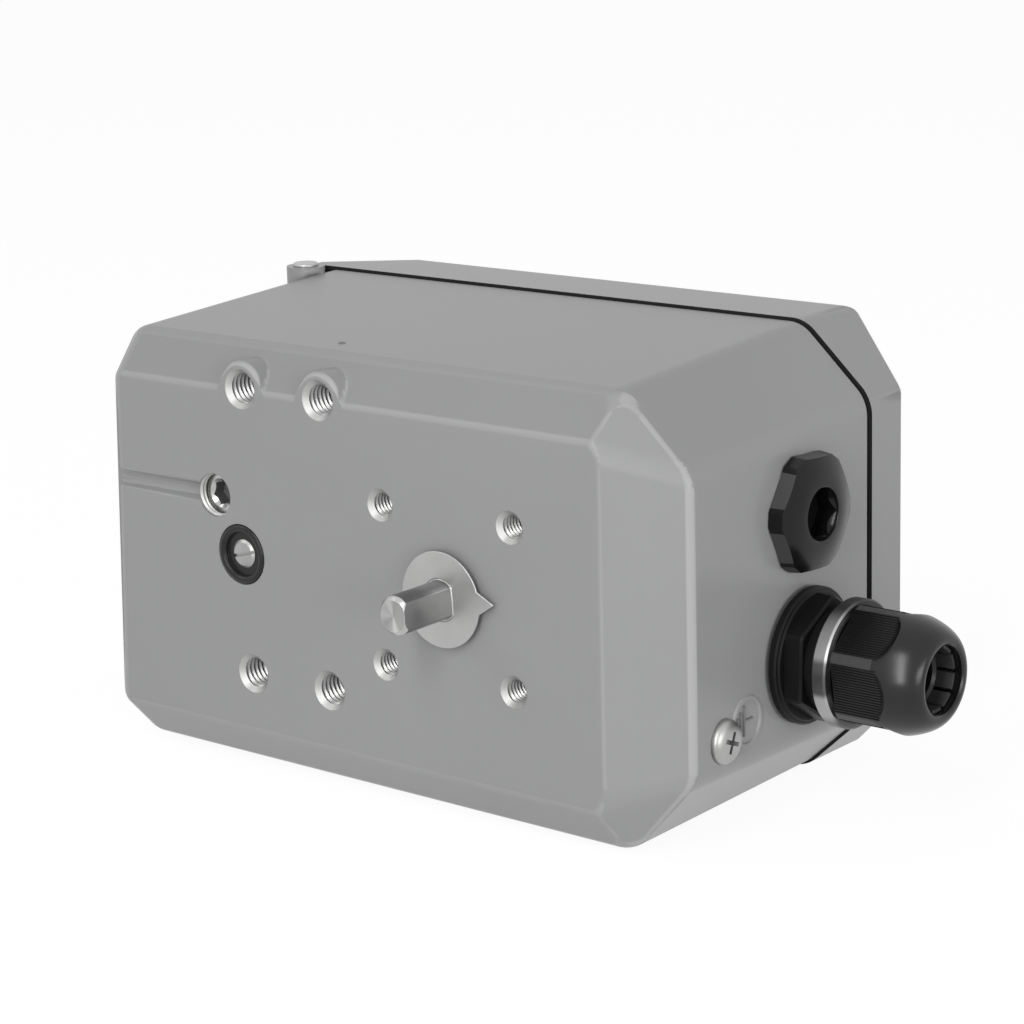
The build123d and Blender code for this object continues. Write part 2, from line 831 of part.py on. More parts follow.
# Cover: shell with a window, a gasket groove, screw posts and the hinge knuckle
cover_planes = [
    ((cover_right, cover_side_y, 0), (cover_front_y - cover_side_y, cover_bevel_run, 0)),
    (
        (cover_left, cover_left_side_y, 0),
        (cover_left_side_y - cover_front_y, cover_front_left - cover_left, 0),
    ),
    ((cover_right, 0, cover_top - corner_leg_z), (corner_leg_z, 0, corner_leg_x)),
    ((cover_right, 0, cover_bottom + corner_leg_z), (corner_leg_z, 0, -corner_leg_x)),
    ((cover_right, 0, 0), (1, 0, 0)),
    ((0, cover_front_y, 0), (0, 1, 0)),
    ((0, 0, cover_top), (0, 0, 1)),
    ((0, 0, cover_bottom), (0, 0, -1)),
]
cover_high = (cover_right + 1, cover_front_y + 1, cover_top + 1)
cover_form = trimmed_form(cover_planes, (cover_left, cover_rim_y, cover_bottom - 1), cover_high)
cover_cavity = trimmed_form(
    inset_planes(cover_planes, cover_wall), (rim_left, cover_rim_y - 1, cover_bottom - 1), cover_high
)

with BuildPart() as cover_posts:
    cover_depth = cover_front_y - cover_rim_y
    add(cylinders(depth_plane(cover_rim_y), cover_screw_points, cover_post_radius, -cover_depth))
    window_post = cover_front_y - window_back_y
    add(cylinders(depth_plane(window_back_y), window_screw_points, post_radius, -window_post))
    add(cover_form, mode=Mode.INTERSECT)

with BuildPart() as cover:
    add(cover_form)
    front_y = cover_front_y + 1
    fillet(edges_at(cover, cover_left - 1, cover_right + 1, cover_rim_y + 1, front_y), cover_radius)
    # The rounded outline that the case has at the seam
    with BuildSketch(depth_plane(cover_rim_y)) as outline:
        with BuildLine():
            Polyline(*seam_outline(-cover_edge, cover_left), close=True)
        make_face()
        fillet(outline.vertices().filter_by(lambda v: v.X > 0), corner_radius + cover_edge)
    extrude(amount=-cover_depth, mode=Mode.INTERSECT)
    add(cover_cavity, mode=Mode.SUBTRACT)
    add(cover_posts.part)
    with BuildSketch(depth_plane(cover_front_y + 1)):
        with Locations(window_mid):
            RectangleRounded(window_width, window_height, cover_wall)
    extrude(amount=cover_wall + 2, mode=Mode.SUBTRACT)
    with BuildSketch(depth_plane(cover_rim_y)):
        add(gasket_ring(fit_gap))
    extrude(amount=-gasket_groove, mode=Mode.SUBTRACT)
    cover_drill = cover_depth + 2
    screw_radius = cover_screw_radius + fit_gap
    rim_plane = depth_plane(cover_rim_y - 1)
    add(cylinders(rim_plane, cover_screw_points, screw_radius, -cover_drill), mode=Mode.SUBTRACT)
    head_radius = cover_screw_head_radius + 2 * fit_gap
    head_drill = cover_screw_seat + 1
    seat_plane = depth_plane(cover_screw_seat_y)
    add(cylinders(seat_plane, cover_screw_points, head_radius, -head_drill), mode=Mode.SUBTRACT)
    add(
        cylinders(depth_plane(window_back_y - 1), window_screw_points, m3_radius + fit_gap, -screw_grip),
        mode=Mode.SUBTRACT,
    )
    # Knuckle on the hinge axis with its web
    with BuildSketch(Plane.XY.offset(knuckle_low_z + hinge_end_play)):
        with Locations((hinge_x, hinge_y)):
            Circle(hinge_boss_radius)
        with Locations((hinge_x - (hinge_boss_radius - knuckle_web) / 2, (hinge_y + cover_rim_y) / 2)):
            Rectangle(hinge_boss_radius + knuckle_web, cover_rim_y - hinge_y)
    extrude(amount=knuckle_high_z - knuckle_low_z - 2 * hinge_end_play)
    pin_hole = hinge_pin_radius + 2 * running_gap
    pin_length = hinge_top_z - pin_low_z
    add(cylinders(Plane.XY.offset(pin_low_z), hinge, pin_hole, pin_length), mode=Mode.SUBTRACT)
save(cover.part, "cover")

with BuildPart() as cover_gasket:
    with BuildSketch(depth_plane(seam_y)):
        add(gasket_ring(0))
    extrude(amount=-(seam_gap + gasket_groove))
save(cover_gasket.part, "cover_gasket")

with BuildPart() as hinge_pin:
    with BuildSketch(Plane.XY.offset(pin_low_z)):
        with Locations((hinge_x, hinge_y)):
            Circle(hinge_pin_radius)
    extrude(amount=hinge_top_z - pin_low_z)
    with BuildSketch(Plane.XY.offset(hinge_top_z)):
        with Locations((hinge_x, hinge_y)):
            Circle(hinge_pin_head_radius)
    extrude(amount=hinge_pin_head)
    chamfer(hinge_pin.faces().sort_by(Axis.Z)[-1].edges(), hinge_pin_head / 3)
save(hinge_pin.part, "hinge_pin")

# Captive screws of the cover
cover_screw = headed_screw(
    cover_screw_head_radius,
    cover_screw_head,
    cover_screw_radius,
    cover_screw_seat_y - seam_y + cover_screw_grip,
)
save(copies(cover_screw, at_depth(cover_screw_points, cover_screw_seat_y)), "cover_screws")

# Window pane, seal and retaining frame in the cover
with BuildPart() as window_seal:
    with BuildSketch(depth_plane(cover_inner_y)):
        with Locations(window_mid):
            RectangleRounded(window_width + 2 * window_lap, window_height + 2 * window_lap, cover_wall)
            RectangleRounded(window_width, window_height, cover_wall, mode=Mode.SUBTRACT)
    extrude(amount=window_seal_thickness)
save(window_seal.part, "window_seal")

with BuildPart() as window_pane:
    with BuildSketch(depth_plane(cover_inner_y - window_seal_thickness)):
        with Locations(window_mid):
            RectangleRounded(window_width + 2 * window_lap, window_height + 2 * window_lap, cover_wall)
    extrude(amount=window_thickness)
save(window_pane.part, "window_pane")

with BuildPart() as window_frame:
    with BuildSketch(depth_plane(window_back_y)):
        with Locations(window_mid):
            Rectangle(window_width + 2 * window_lap, window_height + 2 * window_lap)
            with Locations(*[(x - window_mid[0], z - window_mid[1]) for x, z in window_screw_points]):
                Circle(post_radius + window_lap / 2)
        with Locations(window_mid):
            RectangleRounded(window_width, window_height, cover_wall, mode=Mode.SUBTRACT)
        with Locations(*window_screw_points):
            Circle(m3_radius + fit_gap, mode=Mode.SUBTRACT)
    extrude(amount=window_frame_thickness)
save(window_frame.part, "window_frame")
frame_screw = headed_screw(m3_head_radius, m3_head, m3_radius, screw_grip - 2 + window_frame_thickness)
frame_screw_places = [
    Location((x, window_back_y - window_frame_thickness, z), (180, 0, 0)) for x, z in window_screw_points
]
save(copies(frame_screw, frame_screw_places), "window_frame_screws")

# Feedback shaft with a flat on its outer end, its bushes, seal and ring
with BuildPart() as sensor_shaft:
    with BuildSketch(Plane.XY):
        with BuildLine():
            Polyline(
                (0, -shaft_tip),
                (shaft_radius - shaft_chamfer, -shaft_tip),
                (shaft_radius, -shaft_tip + shaft_chamfer),
                (shaft_radius, -pointer_face),
                (journal_radius, -pointer_face),
                (journal_radius, ring_y),
                (journal_radius - ring_groove, ring_y),
                (journal_radius - ring_groove, ring_y + ring_width),
                (journal_radius, ring_y + ring_width),
                (journal_radius, shaft_end_y),
                (0, shaft_end_y),
                close=True,
            )
        make_face()
    revolve(axis=Axis.Y)
    with BuildSketch(turned_depth_plane(-shaft_tip - 1)):
        with Locations((shaft_flat + shaft_radius, 0)):
            Rectangle(2 * shaft_radius, 4 * shaft_radius)
    extrude(amount=-(shaft_tip + 1 - pointer_face + pointer_thickness), mode=Mode.SUBTRACT)
save(sensor_shaft.part, "sensor_shaft")

with BuildPart() as shaft_hole:
    with BuildSketch(turned_depth_plane(-pointer_face)):
        Circle(journal_radius + fit_gap)
        with Locations((shaft_flat + fit_gap + journal_radius, 0)):
            Rectangle(2 * journal_radius, 4 * journal_radius, mode=Mode.SUBTRACT)
    extrude(amount=-pointer_thickness)

with BuildPart() as pointer_disc:
    with BuildSketch(turned_depth_plane(-pointer_face)):
        Circle(pointer_radius)
        with BuildLine():
            Polyline(
                (0, pointer_half_width * 2),
                (pointer_shoulder, pointer_half_width),
                (pointer_tip, 0),
                (pointer_shoulder, -pointer_half_width),
                (0, -pointer_half_width * 2),
                close=True,
            )
        make_face()
    extrude(amount=-pointer_thickness)
    add(shaft_hole.part, mode=Mode.SUBTRACT)
save(pointer_disc.part, "pointer_disc")

bush = tube(bush_radius, journal_radius + running_gap, bush_length)
save(copies(bush, [(0, bush_start, 0)]), "front_bush")
save(copies(bush, [(0, hub_end - bush_length, 0)]), "rear_bush")
shaft_seal = tube(bush_radius, journal_radius + running_gap, shaft_seal_width)
save(copies(shaft_seal, [(0, bush_start + bush_length, 0)]), "shaft_seal")

with BuildPart() as retaining_ring:
    with BuildSketch(depth_plane(ring_y)):
        Circle(ring_radius)
        Circle(journal_radius - ring_groove + fit_gap, mode=Mode.SUBTRACT)
        with Locations((0, -ring_radius)):
            Rectangle(journal_radius, 2 * ring_radius, mode=Mode.SUBTRACT)
    extrude(amount=-ring_width)
save(retaining_ring.part, "retaining_ring")

# Gear train to the position sensor, which sits above the shaft
with BuildPart() as drive_gear:
    with Locations((0, gear_y, 0)):
        add(gear_form(gear_teeth, gear_width, journal_radius + fit_gap, 90))
    with BuildSketch(depth_plane(gear_y)):
        with PolarLocations((gear_hub_radius + gear_radius) / 2, 6):
            Circle(gear_hole_radius)
    extrude(amount=-gear_width, mode=Mode.SUBTRACT)
    with BuildSketch(depth_plane(gear_y + gear_width)):
        Circle(gear_hub_radius)
        Circle(journal_radius + fit_gap, mode=Mode.SUBTRACT)
    extrude(amount=-gear_hub_width)
    screw_hole = set_screw_radius + fit_gap
    add(
        cylinders(right_plane(journal_radius), [(set_screw_y, 0)], screw_hole, gear_hub_radius),
        mode=Mode.SUBTRACT,
    )
save(drive_gear.part, "drive_gear")

set_screw_length = gear_hub_radius - journal_radius - 0.3
screw_plane = right_plane(journal_radius + fit_gap)
gear_set_screw = cylinders(screw_plane, [(set_screw_y, 0)], set_screw_radius, set_screw_length)
save(gear_set_screw, "gear_set_screw")

with BuildPart() as pot_pinion:
    with Locations((0, pinion_y, gear_distance)):
        add(gear_form(pinion_teeth, pinion_width, pot_shaft_radius + fit_gap, 90 + 180 / pinion_teeth))
save(pot_pinion.part, "pot_pinion")

pot_shaft = cylinders(
    depth_plane(pinion_y), [(0, gear_distance)], pot_shaft_radius, -(bracket_y + pot_length / 2 - pinion_y)
)
save(pot_shaft, "pot_shaft")

with BuildPart() as potentiometer:
    with BuildSketch(depth_plane(bracket_y + bracket_thickness)):
        with Locations((0, gear_distance)):
            Circle(pot_radius)
        with Locations((pot_radius, gear_distance)):
            Rectangle(pot_neck_radius, pot_radius)
    extrude(amount=-pot_length)
    pot_axis = [(0, gear_distance)]
    neck_length = bracket_y + bracket_thickness + 1 - pot_nut_y
    add(cylinders(depth_plane(pot_nut_y - 0.5), pot_axis, pot_neck_radius, -neck_length))
    bore_length = bracket_y + pot_length / 2 + 2 - pot_nut_y
    bore_radius = pot_shaft_radius + running_gap
    add(cylinders(depth_plane(pot_nut_y - 1), pot_axis, bore_radius, -bore_length), mode=Mode.SUBTRACT)
save(potentiometer.part, "potentiometer")

with BuildPart() as pot_nut:
    with BuildSketch(depth_plane(pot_nut_y)):
        with Locations((0, gear_distance)):
            RegularPolygon(pot_nut_across / 2, 6, major_radius=False)
            Circle(pot_neck_radius + fit_gap, mode=Mode.SUBTRACT)
    extrude(amount=-pot_nut_thickness)
save(pot_nut.part, "pot_nut")

with BuildPart() as sensor_bracket:
    with BuildSketch(depth_plane(bracket_y)):
        with Locations(*sensor_posts):
            Circle(sensor_post_radius + bracket_ear)
        make_hull()
        with Locations((0, gear_distance)):
            Circle(pot_neck_radius + fit_gap, mode=Mode.SUBTRACT)
        with Locations(*sensor_posts):
            Circle(m3_radius + fit_gap, mode=Mode.SUBTRACT)
    extrude(amount=-bracket_thickness)
save(sensor_bracket.part, "sensor_bracket")
bracket_screw = headed_screw(m3_head_radius, m3_head, m3_radius, bracket_thickness + screw_grip - 1)
save(copies(bracket_screw, at_depth(sensor_posts, bracket_y + bracket_thickness)), "bracket_screws")

# Blanking plug with a hexagon socket
with BuildPart() as blanking_plug:
    with BuildSketch(depth_plane(plug_recess)):
        with Locations((plug_x, plug_z)):
            Circle(plug_radius - fit_gap)
    extrude(amount=-(plug_length - 1))
    with BuildSketch(depth_plane(plug_recess)):
        with Locations((plug_x, plug_z)):
            RegularPolygon(plug_socket / 2, 6, major_radius=False, rotation=15)
    extrude(amount=-plug_socket_depth, mode=Mode.SUBTRACT)
save(blanking_plug.part, "blanking_plug")

# Air port: rubber seal with a flat lip, and a slotted screw inside it
with BuildPart() as air_port_seal:
    with BuildSketch(Plane.XY.offset(air_port_z)):
        with Locations((air_port_x + o_ring_radius, o_ring_section - o_ring_proud)):
            Circle(o_ring_section)
        lip = o_ring_radius - slotted_plug_radius - fit_gap
        with Locations((air_port_x + o_ring_radius - lip / 2, seal_depth - seal_lip / 2)):
            Rectangle(lip, seal_lip)
    revolve(axis=Axis((air_port_x, 0, air_port_z), (0, 1, 0)))
save(air_port_seal.part, "air_port_seal")

with BuildPart() as slotted_screw:
    with BuildSketch(depth_plane(slotted_plug_sink)):
        with Locations(air_port):
            Circle(slotted_plug_radius)
    extrude(amount=-slotted_plug_length)
    chamfer(slotted_screw.faces().sort_by(Axis.Y)[0].edges(), slotted_plug_sink)
    with BuildSketch(depth_plane(slotted_plug_sink)):
        with Locations(air_port):
            Rectangle(3 * slotted_plug_radius, slot_width)
    extrude(amount=-slot_depth, mode=Mode.SUBTRACT)
save(slotted_screw.part, "slotted_screw")

# Air block on its gasket, with the current-to-pressure converter on top
with BuildPart() as manifold_gasket:
    with BuildSketch(depth_plane(pad_y)):
        with Locations((block_mid_x, block_mid_z)):
            Rectangle(block_right - block_left, block_top - block_bottom)
        with Locations(*block_screw_points):
            Circle(m4_radius + 2 * fit_gap, mode=Mode.SUBTRACT)
        with Locations(air_port, (plug_x, plug_z)):
            Circle(passage_radius, mode=Mode.SUBTRACT)
    extrude(amount=-manifold_gasket_thickness)
save(manifold_gasket.part, "manifold_gasket")

with BuildPart() as air_block:
    with BuildSketch(depth_plane(block_foot_y)):
        with Locations((block_mid_x, block_mid_z)):
            Rectangle(block_right - block_left, block_top - block_bottom)
    extrude(amount=-(block_y - block_foot_y))
    chamfer(air_block.edges().filter_by(Axis.Y), block_chamfer)
    chamfer(air_block.faces().sort_by(Axis.Y)[-1].edges(), 1)
    add(cylinders(depth_plane(pad_y), block_screw_points, m4_radius + fit_gap, -block_y), mode=Mode.SUBTRACT)
    passage_depth = block_screw_inset * 2
    passages = cylinders(depth_plane(pad_y), [air_port, (plug_x, plug_z)], passage_radius, -passage_depth)
    add(passages, mode=Mode.SUBTRACT)
    add(
        cylinders(right_plane(block_left - 1), port_points, 2 * passage_radius, port_boss_radius),
        mode=Mode.SUBTRACT,
    )
    hole_radius = m3_radius + fit_gap
    converter_holes = cylinders(depth_plane(block_y + 1), converter_points, hole_radius, screw_grip + 1)
    add(converter_holes, mode=Mode.SUBTRACT)
save(air_block.part, "air_block")
block_screw = headed_screw(m4_head_radius, m4_head, m4_radius, block_y - pad_y + screw_grip - 1)
save(copies(block_screw, at_depth(block_screw_points, block_y)), "air_block_screws")

with BuildPart() as ip_converter:
    with BuildSketch(depth_plane(block_y)):
        with Locations((block_mid_x, block_mid_z)):
            Circle(converter_radius)
        with Locations(*converter_points):
            Circle(post_radius + 1)
        make_hull()
        with Locations(*converter_points):
            Circle(m3_radius + fit_gap, mode=Mode.SUBTRACT)
    extrude(amount=-converter_base)
    with BuildSketch(depth_plane(block_y + converter_base)):
        with Locations((block_mid_x, block_mid_z)):
            Circle(converter_radius - 1)
    extrude(amount=-(converter_height - converter_base))
    chamfer(ip_converter.faces().sort_by(Axis.Y)[-1].edges(), 1.5)
save(ip_converter.part, "ip_converter")
converter_screw = headed_screw(m3_head_radius, m3_head, m3_radius, converter_base + screw_grip - 1)
save(copies(converter_screw, at_depth(converter_points, block_y + converter_base)), "converter_screws")

# Vent plug with its seal on the left wall
vent_seal = turned_along_x(
    [
        (vent_face_x, vent_thread_radius + fit_gap),
        (vent_face_x, vent_cap_radius - 0.5),
        (vent_face_x - entry_seal, vent_cap_radius - 0.5),
        (vent_face_x - entry_seal, vent_thread_radius + fit_gap),
    ],
    vent_y,
    vent_z,
)
save(vent_seal, "vent_seal")
vent_plug = turned_along_x(
    [
        (vent_face_x + vent_thread_length, 0),
        (vent_face_x + vent_thread_length, vent_thread_radius - fit_gap),
        (vent_face_x - entry_seal, vent_thread_radius - fit_gap),
        (vent_face_x - entry_seal, vent_cap_radius),
        (vent_end_x + 2, vent_cap_radius),
        (vent_end_x + 0.6, vent_cap_radius - 0.6),
        (vent_end_x, vent_cap_radius - 2),
        (vent_end_x, 0),
    ],
    vent_y,
    vent_z,
)
save(vent_plug, "vent_plug")

# Blanking plug of the upper cable entry
blind_plug_seal = turned_along_x(
    [
        (entry_face_x, entry_thread_radius + fit_gap),
        (entry_face_x, entry_pad_radius),
        (blind_head_x, entry_pad_radius),
        (blind_head_x, entry_thread_radius + fit_gap),
    ],
    entry_y,
    blind_z,
)
save(blind_plug_seal, "blind_plug_seal")

with BuildPart() as blind_plug:
    add(
        turned_along_x(
            [
                (blind_head_x, 0),
                (blind_head_x, blind_corner_radius),
                (entry_face_x + blind_side, blind_corner_radius),
                (entry_face_x + blind_height, blind_mouth_radius),
                (entry_face_x + blind_height, 0),
            ],
            entry_y,
            blind_z,
        )
    )
    with BuildSketch(right_plane(blind_head_x)):
        with Locations((entry_y, blind_z)):
            RegularPolygon(blind_across / 2, 6, major_radius=False, rotation=blind_turn)
    extrude(amount=blind_height, mode=Mode.INTERSECT)
    thread_length = blind_head_x - entry_boss_x
    thread_radius = entry_thread_radius - fit_gap
    add(cylinders(right_plane(entry_boss_x), [(entry_y, blind_z)], thread_radius, thread_length))
    blind_mouth_x = entry_face_x + blind_height - blind_mouth_depth
    mouth_plane = right_plane(blind_mouth_x)
    add(cylinders(mouth_plane, [(entry_y, blind_z)], blind_mouth_radius, 5), mode=Mode.SUBTRACT)
    with BuildSketch(right_plane(blind_mouth_x - blind_socket_depth)):
        with Locations((entry_y, blind_z)):
            RegularPolygon(blind_socket / 2, 6, major_radius=False, rotation=30)
    extrude(amount=blind_socket_depth + 1, mode=Mode.SUBTRACT)
save(blind_plug.part, "blind_plug")

# Cable gland: seal, body, bonded ring, nut, clamp and rubber insert
gland_seal = turned_along_x(
    [
        (entry_face_x, entry_thread_radius + fit_gap),
        (entry_face_x, entry_pad_radius),
        (gland_seat_x, entry_pad_radius),
        (gland_seat_x, entry_thread_radius + fit_gap),
    ],
    entry_y,
    gland_z,
)
save(gland_seal, "gland_seal")

with BuildPart() as gland_body:
    with BuildSketch(right_plane(gland_flange_x)):
        with Locations((entry_y, gland_z)):
            RegularPolygon(gland_hex_across / 2, 6, major_radius=False, rotation=gland_turn)
    extrude(amount=gland_hex_x - gland_flange_x)
    add(
        turned_along_x(
            [
                (entry_boss_x, 0),
                (entry_boss_x, entry_thread_radius - fit_gap),
                (gland_seat_x, entry_thread_radius - fit_gap),
                (gland_seat_x, gland_flange_radius),
                (gland_flange_x, gland_flange_radius),
                (gland_flange_x, gland_collar_radius),
                (gland_collar_x, gland_collar_radius),
                (gland_collar_x, gland_stub_radius),
                (gland_stub_x, gland_stub_radius),
                (gland_stub_x, 0),
            ],
            entry_y,
            gland_z,
        )
    )
    body_length = gland_stub_x - entry_boss_x
    body_bore = gland_insert_radius + fit_gap
    add(
        cylinders(right_plane(entry_boss_x), [(entry_y, gland_z)], body_bore, body_length),
        mode=Mode.SUBTRACT,
    )
save(gland_body.part, "gland_body")

gland_ring = turned_along_x(
    [
        (gland_collar_x, gland_stub_radius + fit_gap),
        (gland_collar_x, gland_ring_radius - gland_ring_edge),
        (gland_collar_x + gland_ring_edge, gland_ring_radius),
        (gland_ring_x - gland_ring_edge, gland_ring_radius),
        (gland_ring_x, gland_ring_radius - gland_ring_edge),
        (gland_ring_x, gland_stub_radius + fit_gap),
    ],
    entry_y,
    gland_z,
)
save(gland_ring, "gland_ring")

with BuildPart() as gland_nut:
    with BuildSketch(right_plane(gland_nut_x)):
        with Locations((entry_y, gland_z)):
            RegularPolygon(gland_hex_across / 2, 6, major_radius=False, rotation=gland_nut_turn)
            Circle(gland_corner_radius, mode=Mode.INTERSECT)
    extrude(amount=gland_nut_hex_x - gland_nut_x)
    with BuildSketch(Plane(origin=(0, entry_y, gland_z), x_dir=(1, 0, 0), z_dir=(0, 0, 1))):
        with BuildLine():
            Polyline(
                (gland_nut_hex_x, gland_dome_radius),
                (gland_nut_hex_x, gland_stub_radius),
                (gland_ring_x, gland_stub_radius),
                (gland_ring_x, gland_skirt_radius),
                (gland_nut_x + 0.5, gland_skirt_radius),
                (gland_nut_x + 0.5, gland_stub_radius + 1),
                (gland_nut_hex_x - 1, gland_stub_radius + 1),
                (gland_nut_hex_x - 1, gland_dome_radius - 1),
                (gland_nut_hex_x, gland_dome_radius),
            )
        make_face()
    revolve(axis=Axis((0, entry_y, gland_z), (1, 0, 0)))
    with BuildSketch(Plane(origin=(0, entry_y, gland_z), x_dir=(1, 0, 0), z_dir=(0, 0, 1))):
        with BuildLine():
            Line((gland_nut_hex_x, 0), (gland_nut_hex_x, gland_dome_radius))
            ThreePointArc(
                (gland_nut_hex_x, gland_dome_radius),
                (gland_nut_end_x - gland_dome_run, gland_dome_radius - gland_dome_drop),
                (gland_nut_end_x, gland_mouth_radius + gland_nut_wall),
            )
            ThreePointArc(
                (gland_nut_end_x, gland_mouth_radius + gland_nut_wall),
                (gland_nut_end_x - gland_lip / 4, gland_mouth_radius + gland_lip / 2),
                (gland_lip_x, gland_mouth_radius),
            )
            Polyline((gland_lip_x, gland_mouth_radius), (gland_lip_x, 0), (gland_nut_hex_x, 0))
        make_face()
    revolve(axis=Axis((0, entry_y, gland_z), (1, 0, 0)))
    add(
        turned_along_x(
            [
                (gland_ring_x - 1, 0),
                (gland_ring_x - 1, gland_stub_radius + fit_gap),
                (gland_cone_x, gland_stub_radius + fit_gap),
                (gland_nut_end_x - gland_nut_wall, gland_mouth_radius),
                (gland_nut_end_x + 1, gland_mouth_radius),
                (gland_nut_end_x + 1, 0),
            ],
            entry_y,
            gland_z,
        ),
        mode=Mode.SUBTRACT,
    )
save(gland_nut.part, "gland_nut")

with BuildPart() as gland_clamp:
    add(
        turned_along_x(
            [
                (gland_stub_x, gland_insert_radius + fit_gap),
                (gland_stub_x, gland_stub_radius - fit_gap),
                (gland_cone_x - 0.3, gland_stub_radius - fit_gap),
                (gland_nut_end_x - 2, gland_mouth_radius - fit_gap),
                (gland_nut_end_x - 2, gland_insert_radius + fit_gap),
            ],
            entry_y,
            gland_z,
        )
    )
    with BuildSketch(right_plane(gland_stub_x + gland_finger_root)):
        with Locations((entry_y, gland_z)):
            with PolarLocations(gland_stub_radius, gland_fingers):
                Rectangle(gland_stub_radius, gland_finger_gap)
    extrude(amount=gland_nut_end_x - gland_stub_x, mode=Mode.SUBTRACT)
save(gland_clamp.part, "gland_clamp")

gland_insert = turned_along_x(
    [
        (gland_flange_x, gland_cable_radius + gland_insert_edge),
        (gland_flange_x, gland_insert_radius),
        (gland_insert_x - gland_insert_chamfer, gland_insert_radius),
        (gland_insert_x, gland_insert_radius - gland_insert_chamfer),
        (gland_insert_x, gland_cable_radius + gland_insert_edge),
        (gland_insert_x - gland_insert_edge, gland_cable_radius),
        (gland_flange_x + gland_insert_edge, gland_cable_radius),
    ],
    entry_y,
    gland_z,
)
save(gland_insert, "gland_insert")

# Earth screws outside and inside
earth_screw = headed_screw(earth_head_radius, earth_head_height, earth_shank_radius, earth_shank_length - 1)
save(copies(earth_screw, [Location((earth_face_x, earth_y, earth_z), (0, 0, -90))]), "earth_screw")
inner_earth = headed_screw(m4_head_radius, m4_head, m4_radius, screw_grip - 1)
save(copies(inner_earth, at_depth([(inner_earth_x, inner_earth_z)], inner_earth_y)), "inner_earth_screw")

# Electronics: board, display, key switches and the module cover over them
with BuildPart() as circuit_board:
    with BuildSketch(depth_plane(board_y)):
        with Locations((board_mid_x, board_mid_z)):
            Rectangle(board_right - board_left, board_top - board_bottom)
        with Locations(*board_post_points):
            Circle(m3_radius + fit_gap, mode=Mode.SUBTRACT)
    extrude(amount=-board_thickness)
save(circuit_board.part, "circuit_board")

with BuildPart() as lcd_display:
    with BuildSketch(depth_plane(board_face_y)):
        with Locations(display_mid):
            Rectangle(display_width, display_height)
    extrude(amount=-(module_under_y - display_under - board_face_y))
save(lcd_display.part, "lcd_display")

with BuildPart() as key_switches:
    with BuildSketch(depth_plane(board_face_y)):
        with Locations(*[(x, button_z) for x in button_x]):
            Rectangle(switch_side, switch_side)
    extrude(amount=-switch_height)
save(key_switches.part, "key_switches")

with BuildPart() as module_cover:
    with BuildSketch(depth_plane(board_y)):
        with Locations((board_mid_x, board_mid_z)):
            RectangleRounded(module_width, module_height, module_wall)
    extrude(amount=-(module_y - board_y))
    with BuildSketch(depth_plane(board_y)):
        with Locations((board_mid_x, board_mid_z)):
            Rectangle(module_width - 2 * module_wall, module_height - 2 * module_wall)
    extrude(amount=-(module_under_y - board_y), mode=Mode.SUBTRACT)
    add(cylinders(depth_plane(board_face_y), board_post_points, post_radius, -(module_y - board_face_y)))
    with BuildSketch(depth_plane(module_under_y)):
        with Locations(display_mid):
            Rectangle(display_width - 2 * display_frame, display_height - 2 * display_frame)
        with Locations(*[(x, button_z) for x in button_x]):
            Circle(button_radius + 0.3)
    extrude(amount=-module_wall, mode=Mode.SUBTRACT)
    module_drill = module_y + 1 - board_y
    board_hole = m3_radius + fit_gap
    add(cylinders(depth_plane(board_y), board_post_points, board_hole, -module_drill), mode=Mode.SUBTRACT)
save(module_cover.part, "module_cover")
module_screw = headed_screw(m3_head_radius, m3_head, m3_radius, module_y - board_y + screw_grip - 1)
save(copies(module_screw, at_depth(board_post_points, module_y)), "module_screws")

button = turned_along_y(
    [
        (0, board_face_y + switch_height + button_travel + button_stop),
        (button_stem_radius, board_face_y + switch_height + button_travel + button_stop),
        (button_stem_radius, module_under_y - button_stop - button_flange),
        (button_flange_radius, module_under_y - button_stop - button_flange),
        (button_flange_radius, module_under_y - button_stop),
        (button_radius, module_under_y - button_stop),
        (button_radius, module_y + button_proud - 0.5),
        (button_radius - 0.5, module_y + button_proud),
        (0, module_y + button_proud),
    ]
)
for name, x in zip(("button_mode", "button_down", "button_up", "button_enter"), button_x):
    save(copies(button, [(x, 0, button_z)]), name)

# Terminal block with a screw and a wire hole for each pole
with BuildPart() as terminal_block:
    with BuildSketch(depth_plane(terminal_y)):
        with Locations((terminal_x, 0)):
            Rectangle(2 * terminal_half_depth - 4, 2 * terminal_half_length + 2 * terminal_ear)
    extrude(amount=-terminal_ear_height)
    with BuildSketch(depth_plane(terminal_y)):
        with Locations((terminal_x, 0)):
            Rectangle(2 * terminal_half_depth, 2 * terminal_half_length)
    extrude(amount=-terminal_height)
    with BuildSketch(depth_plane(terminal_y + terminal_height)):
        with Locations(*terminal_pole_points):
            Circle(terminal_screw_radius + fit_gap)
    extrude(amount=terminal_height / 2, mode=Mode.SUBTRACT)
    with BuildSketch(right_plane(terminal_x + terminal_half_depth)):
        with Locations(*[(terminal_y + terminal_height / 2, z) for x, z in terminal_pole_points]):
            Rectangle(terminal_entry, terminal_entry)
    extrude(amount=-terminal_half_depth - 2, mode=Mode.SUBTRACT)
    ear_plane = depth_plane(terminal_y)
    terminal_holes = cylinders(ear_plane, terminal_post_points, m3_radius + fit_gap, -terminal_ear_height)
    add(terminal_holes, mode=Mode.SUBTRACT)
save(terminal_block.part, "terminal_block")

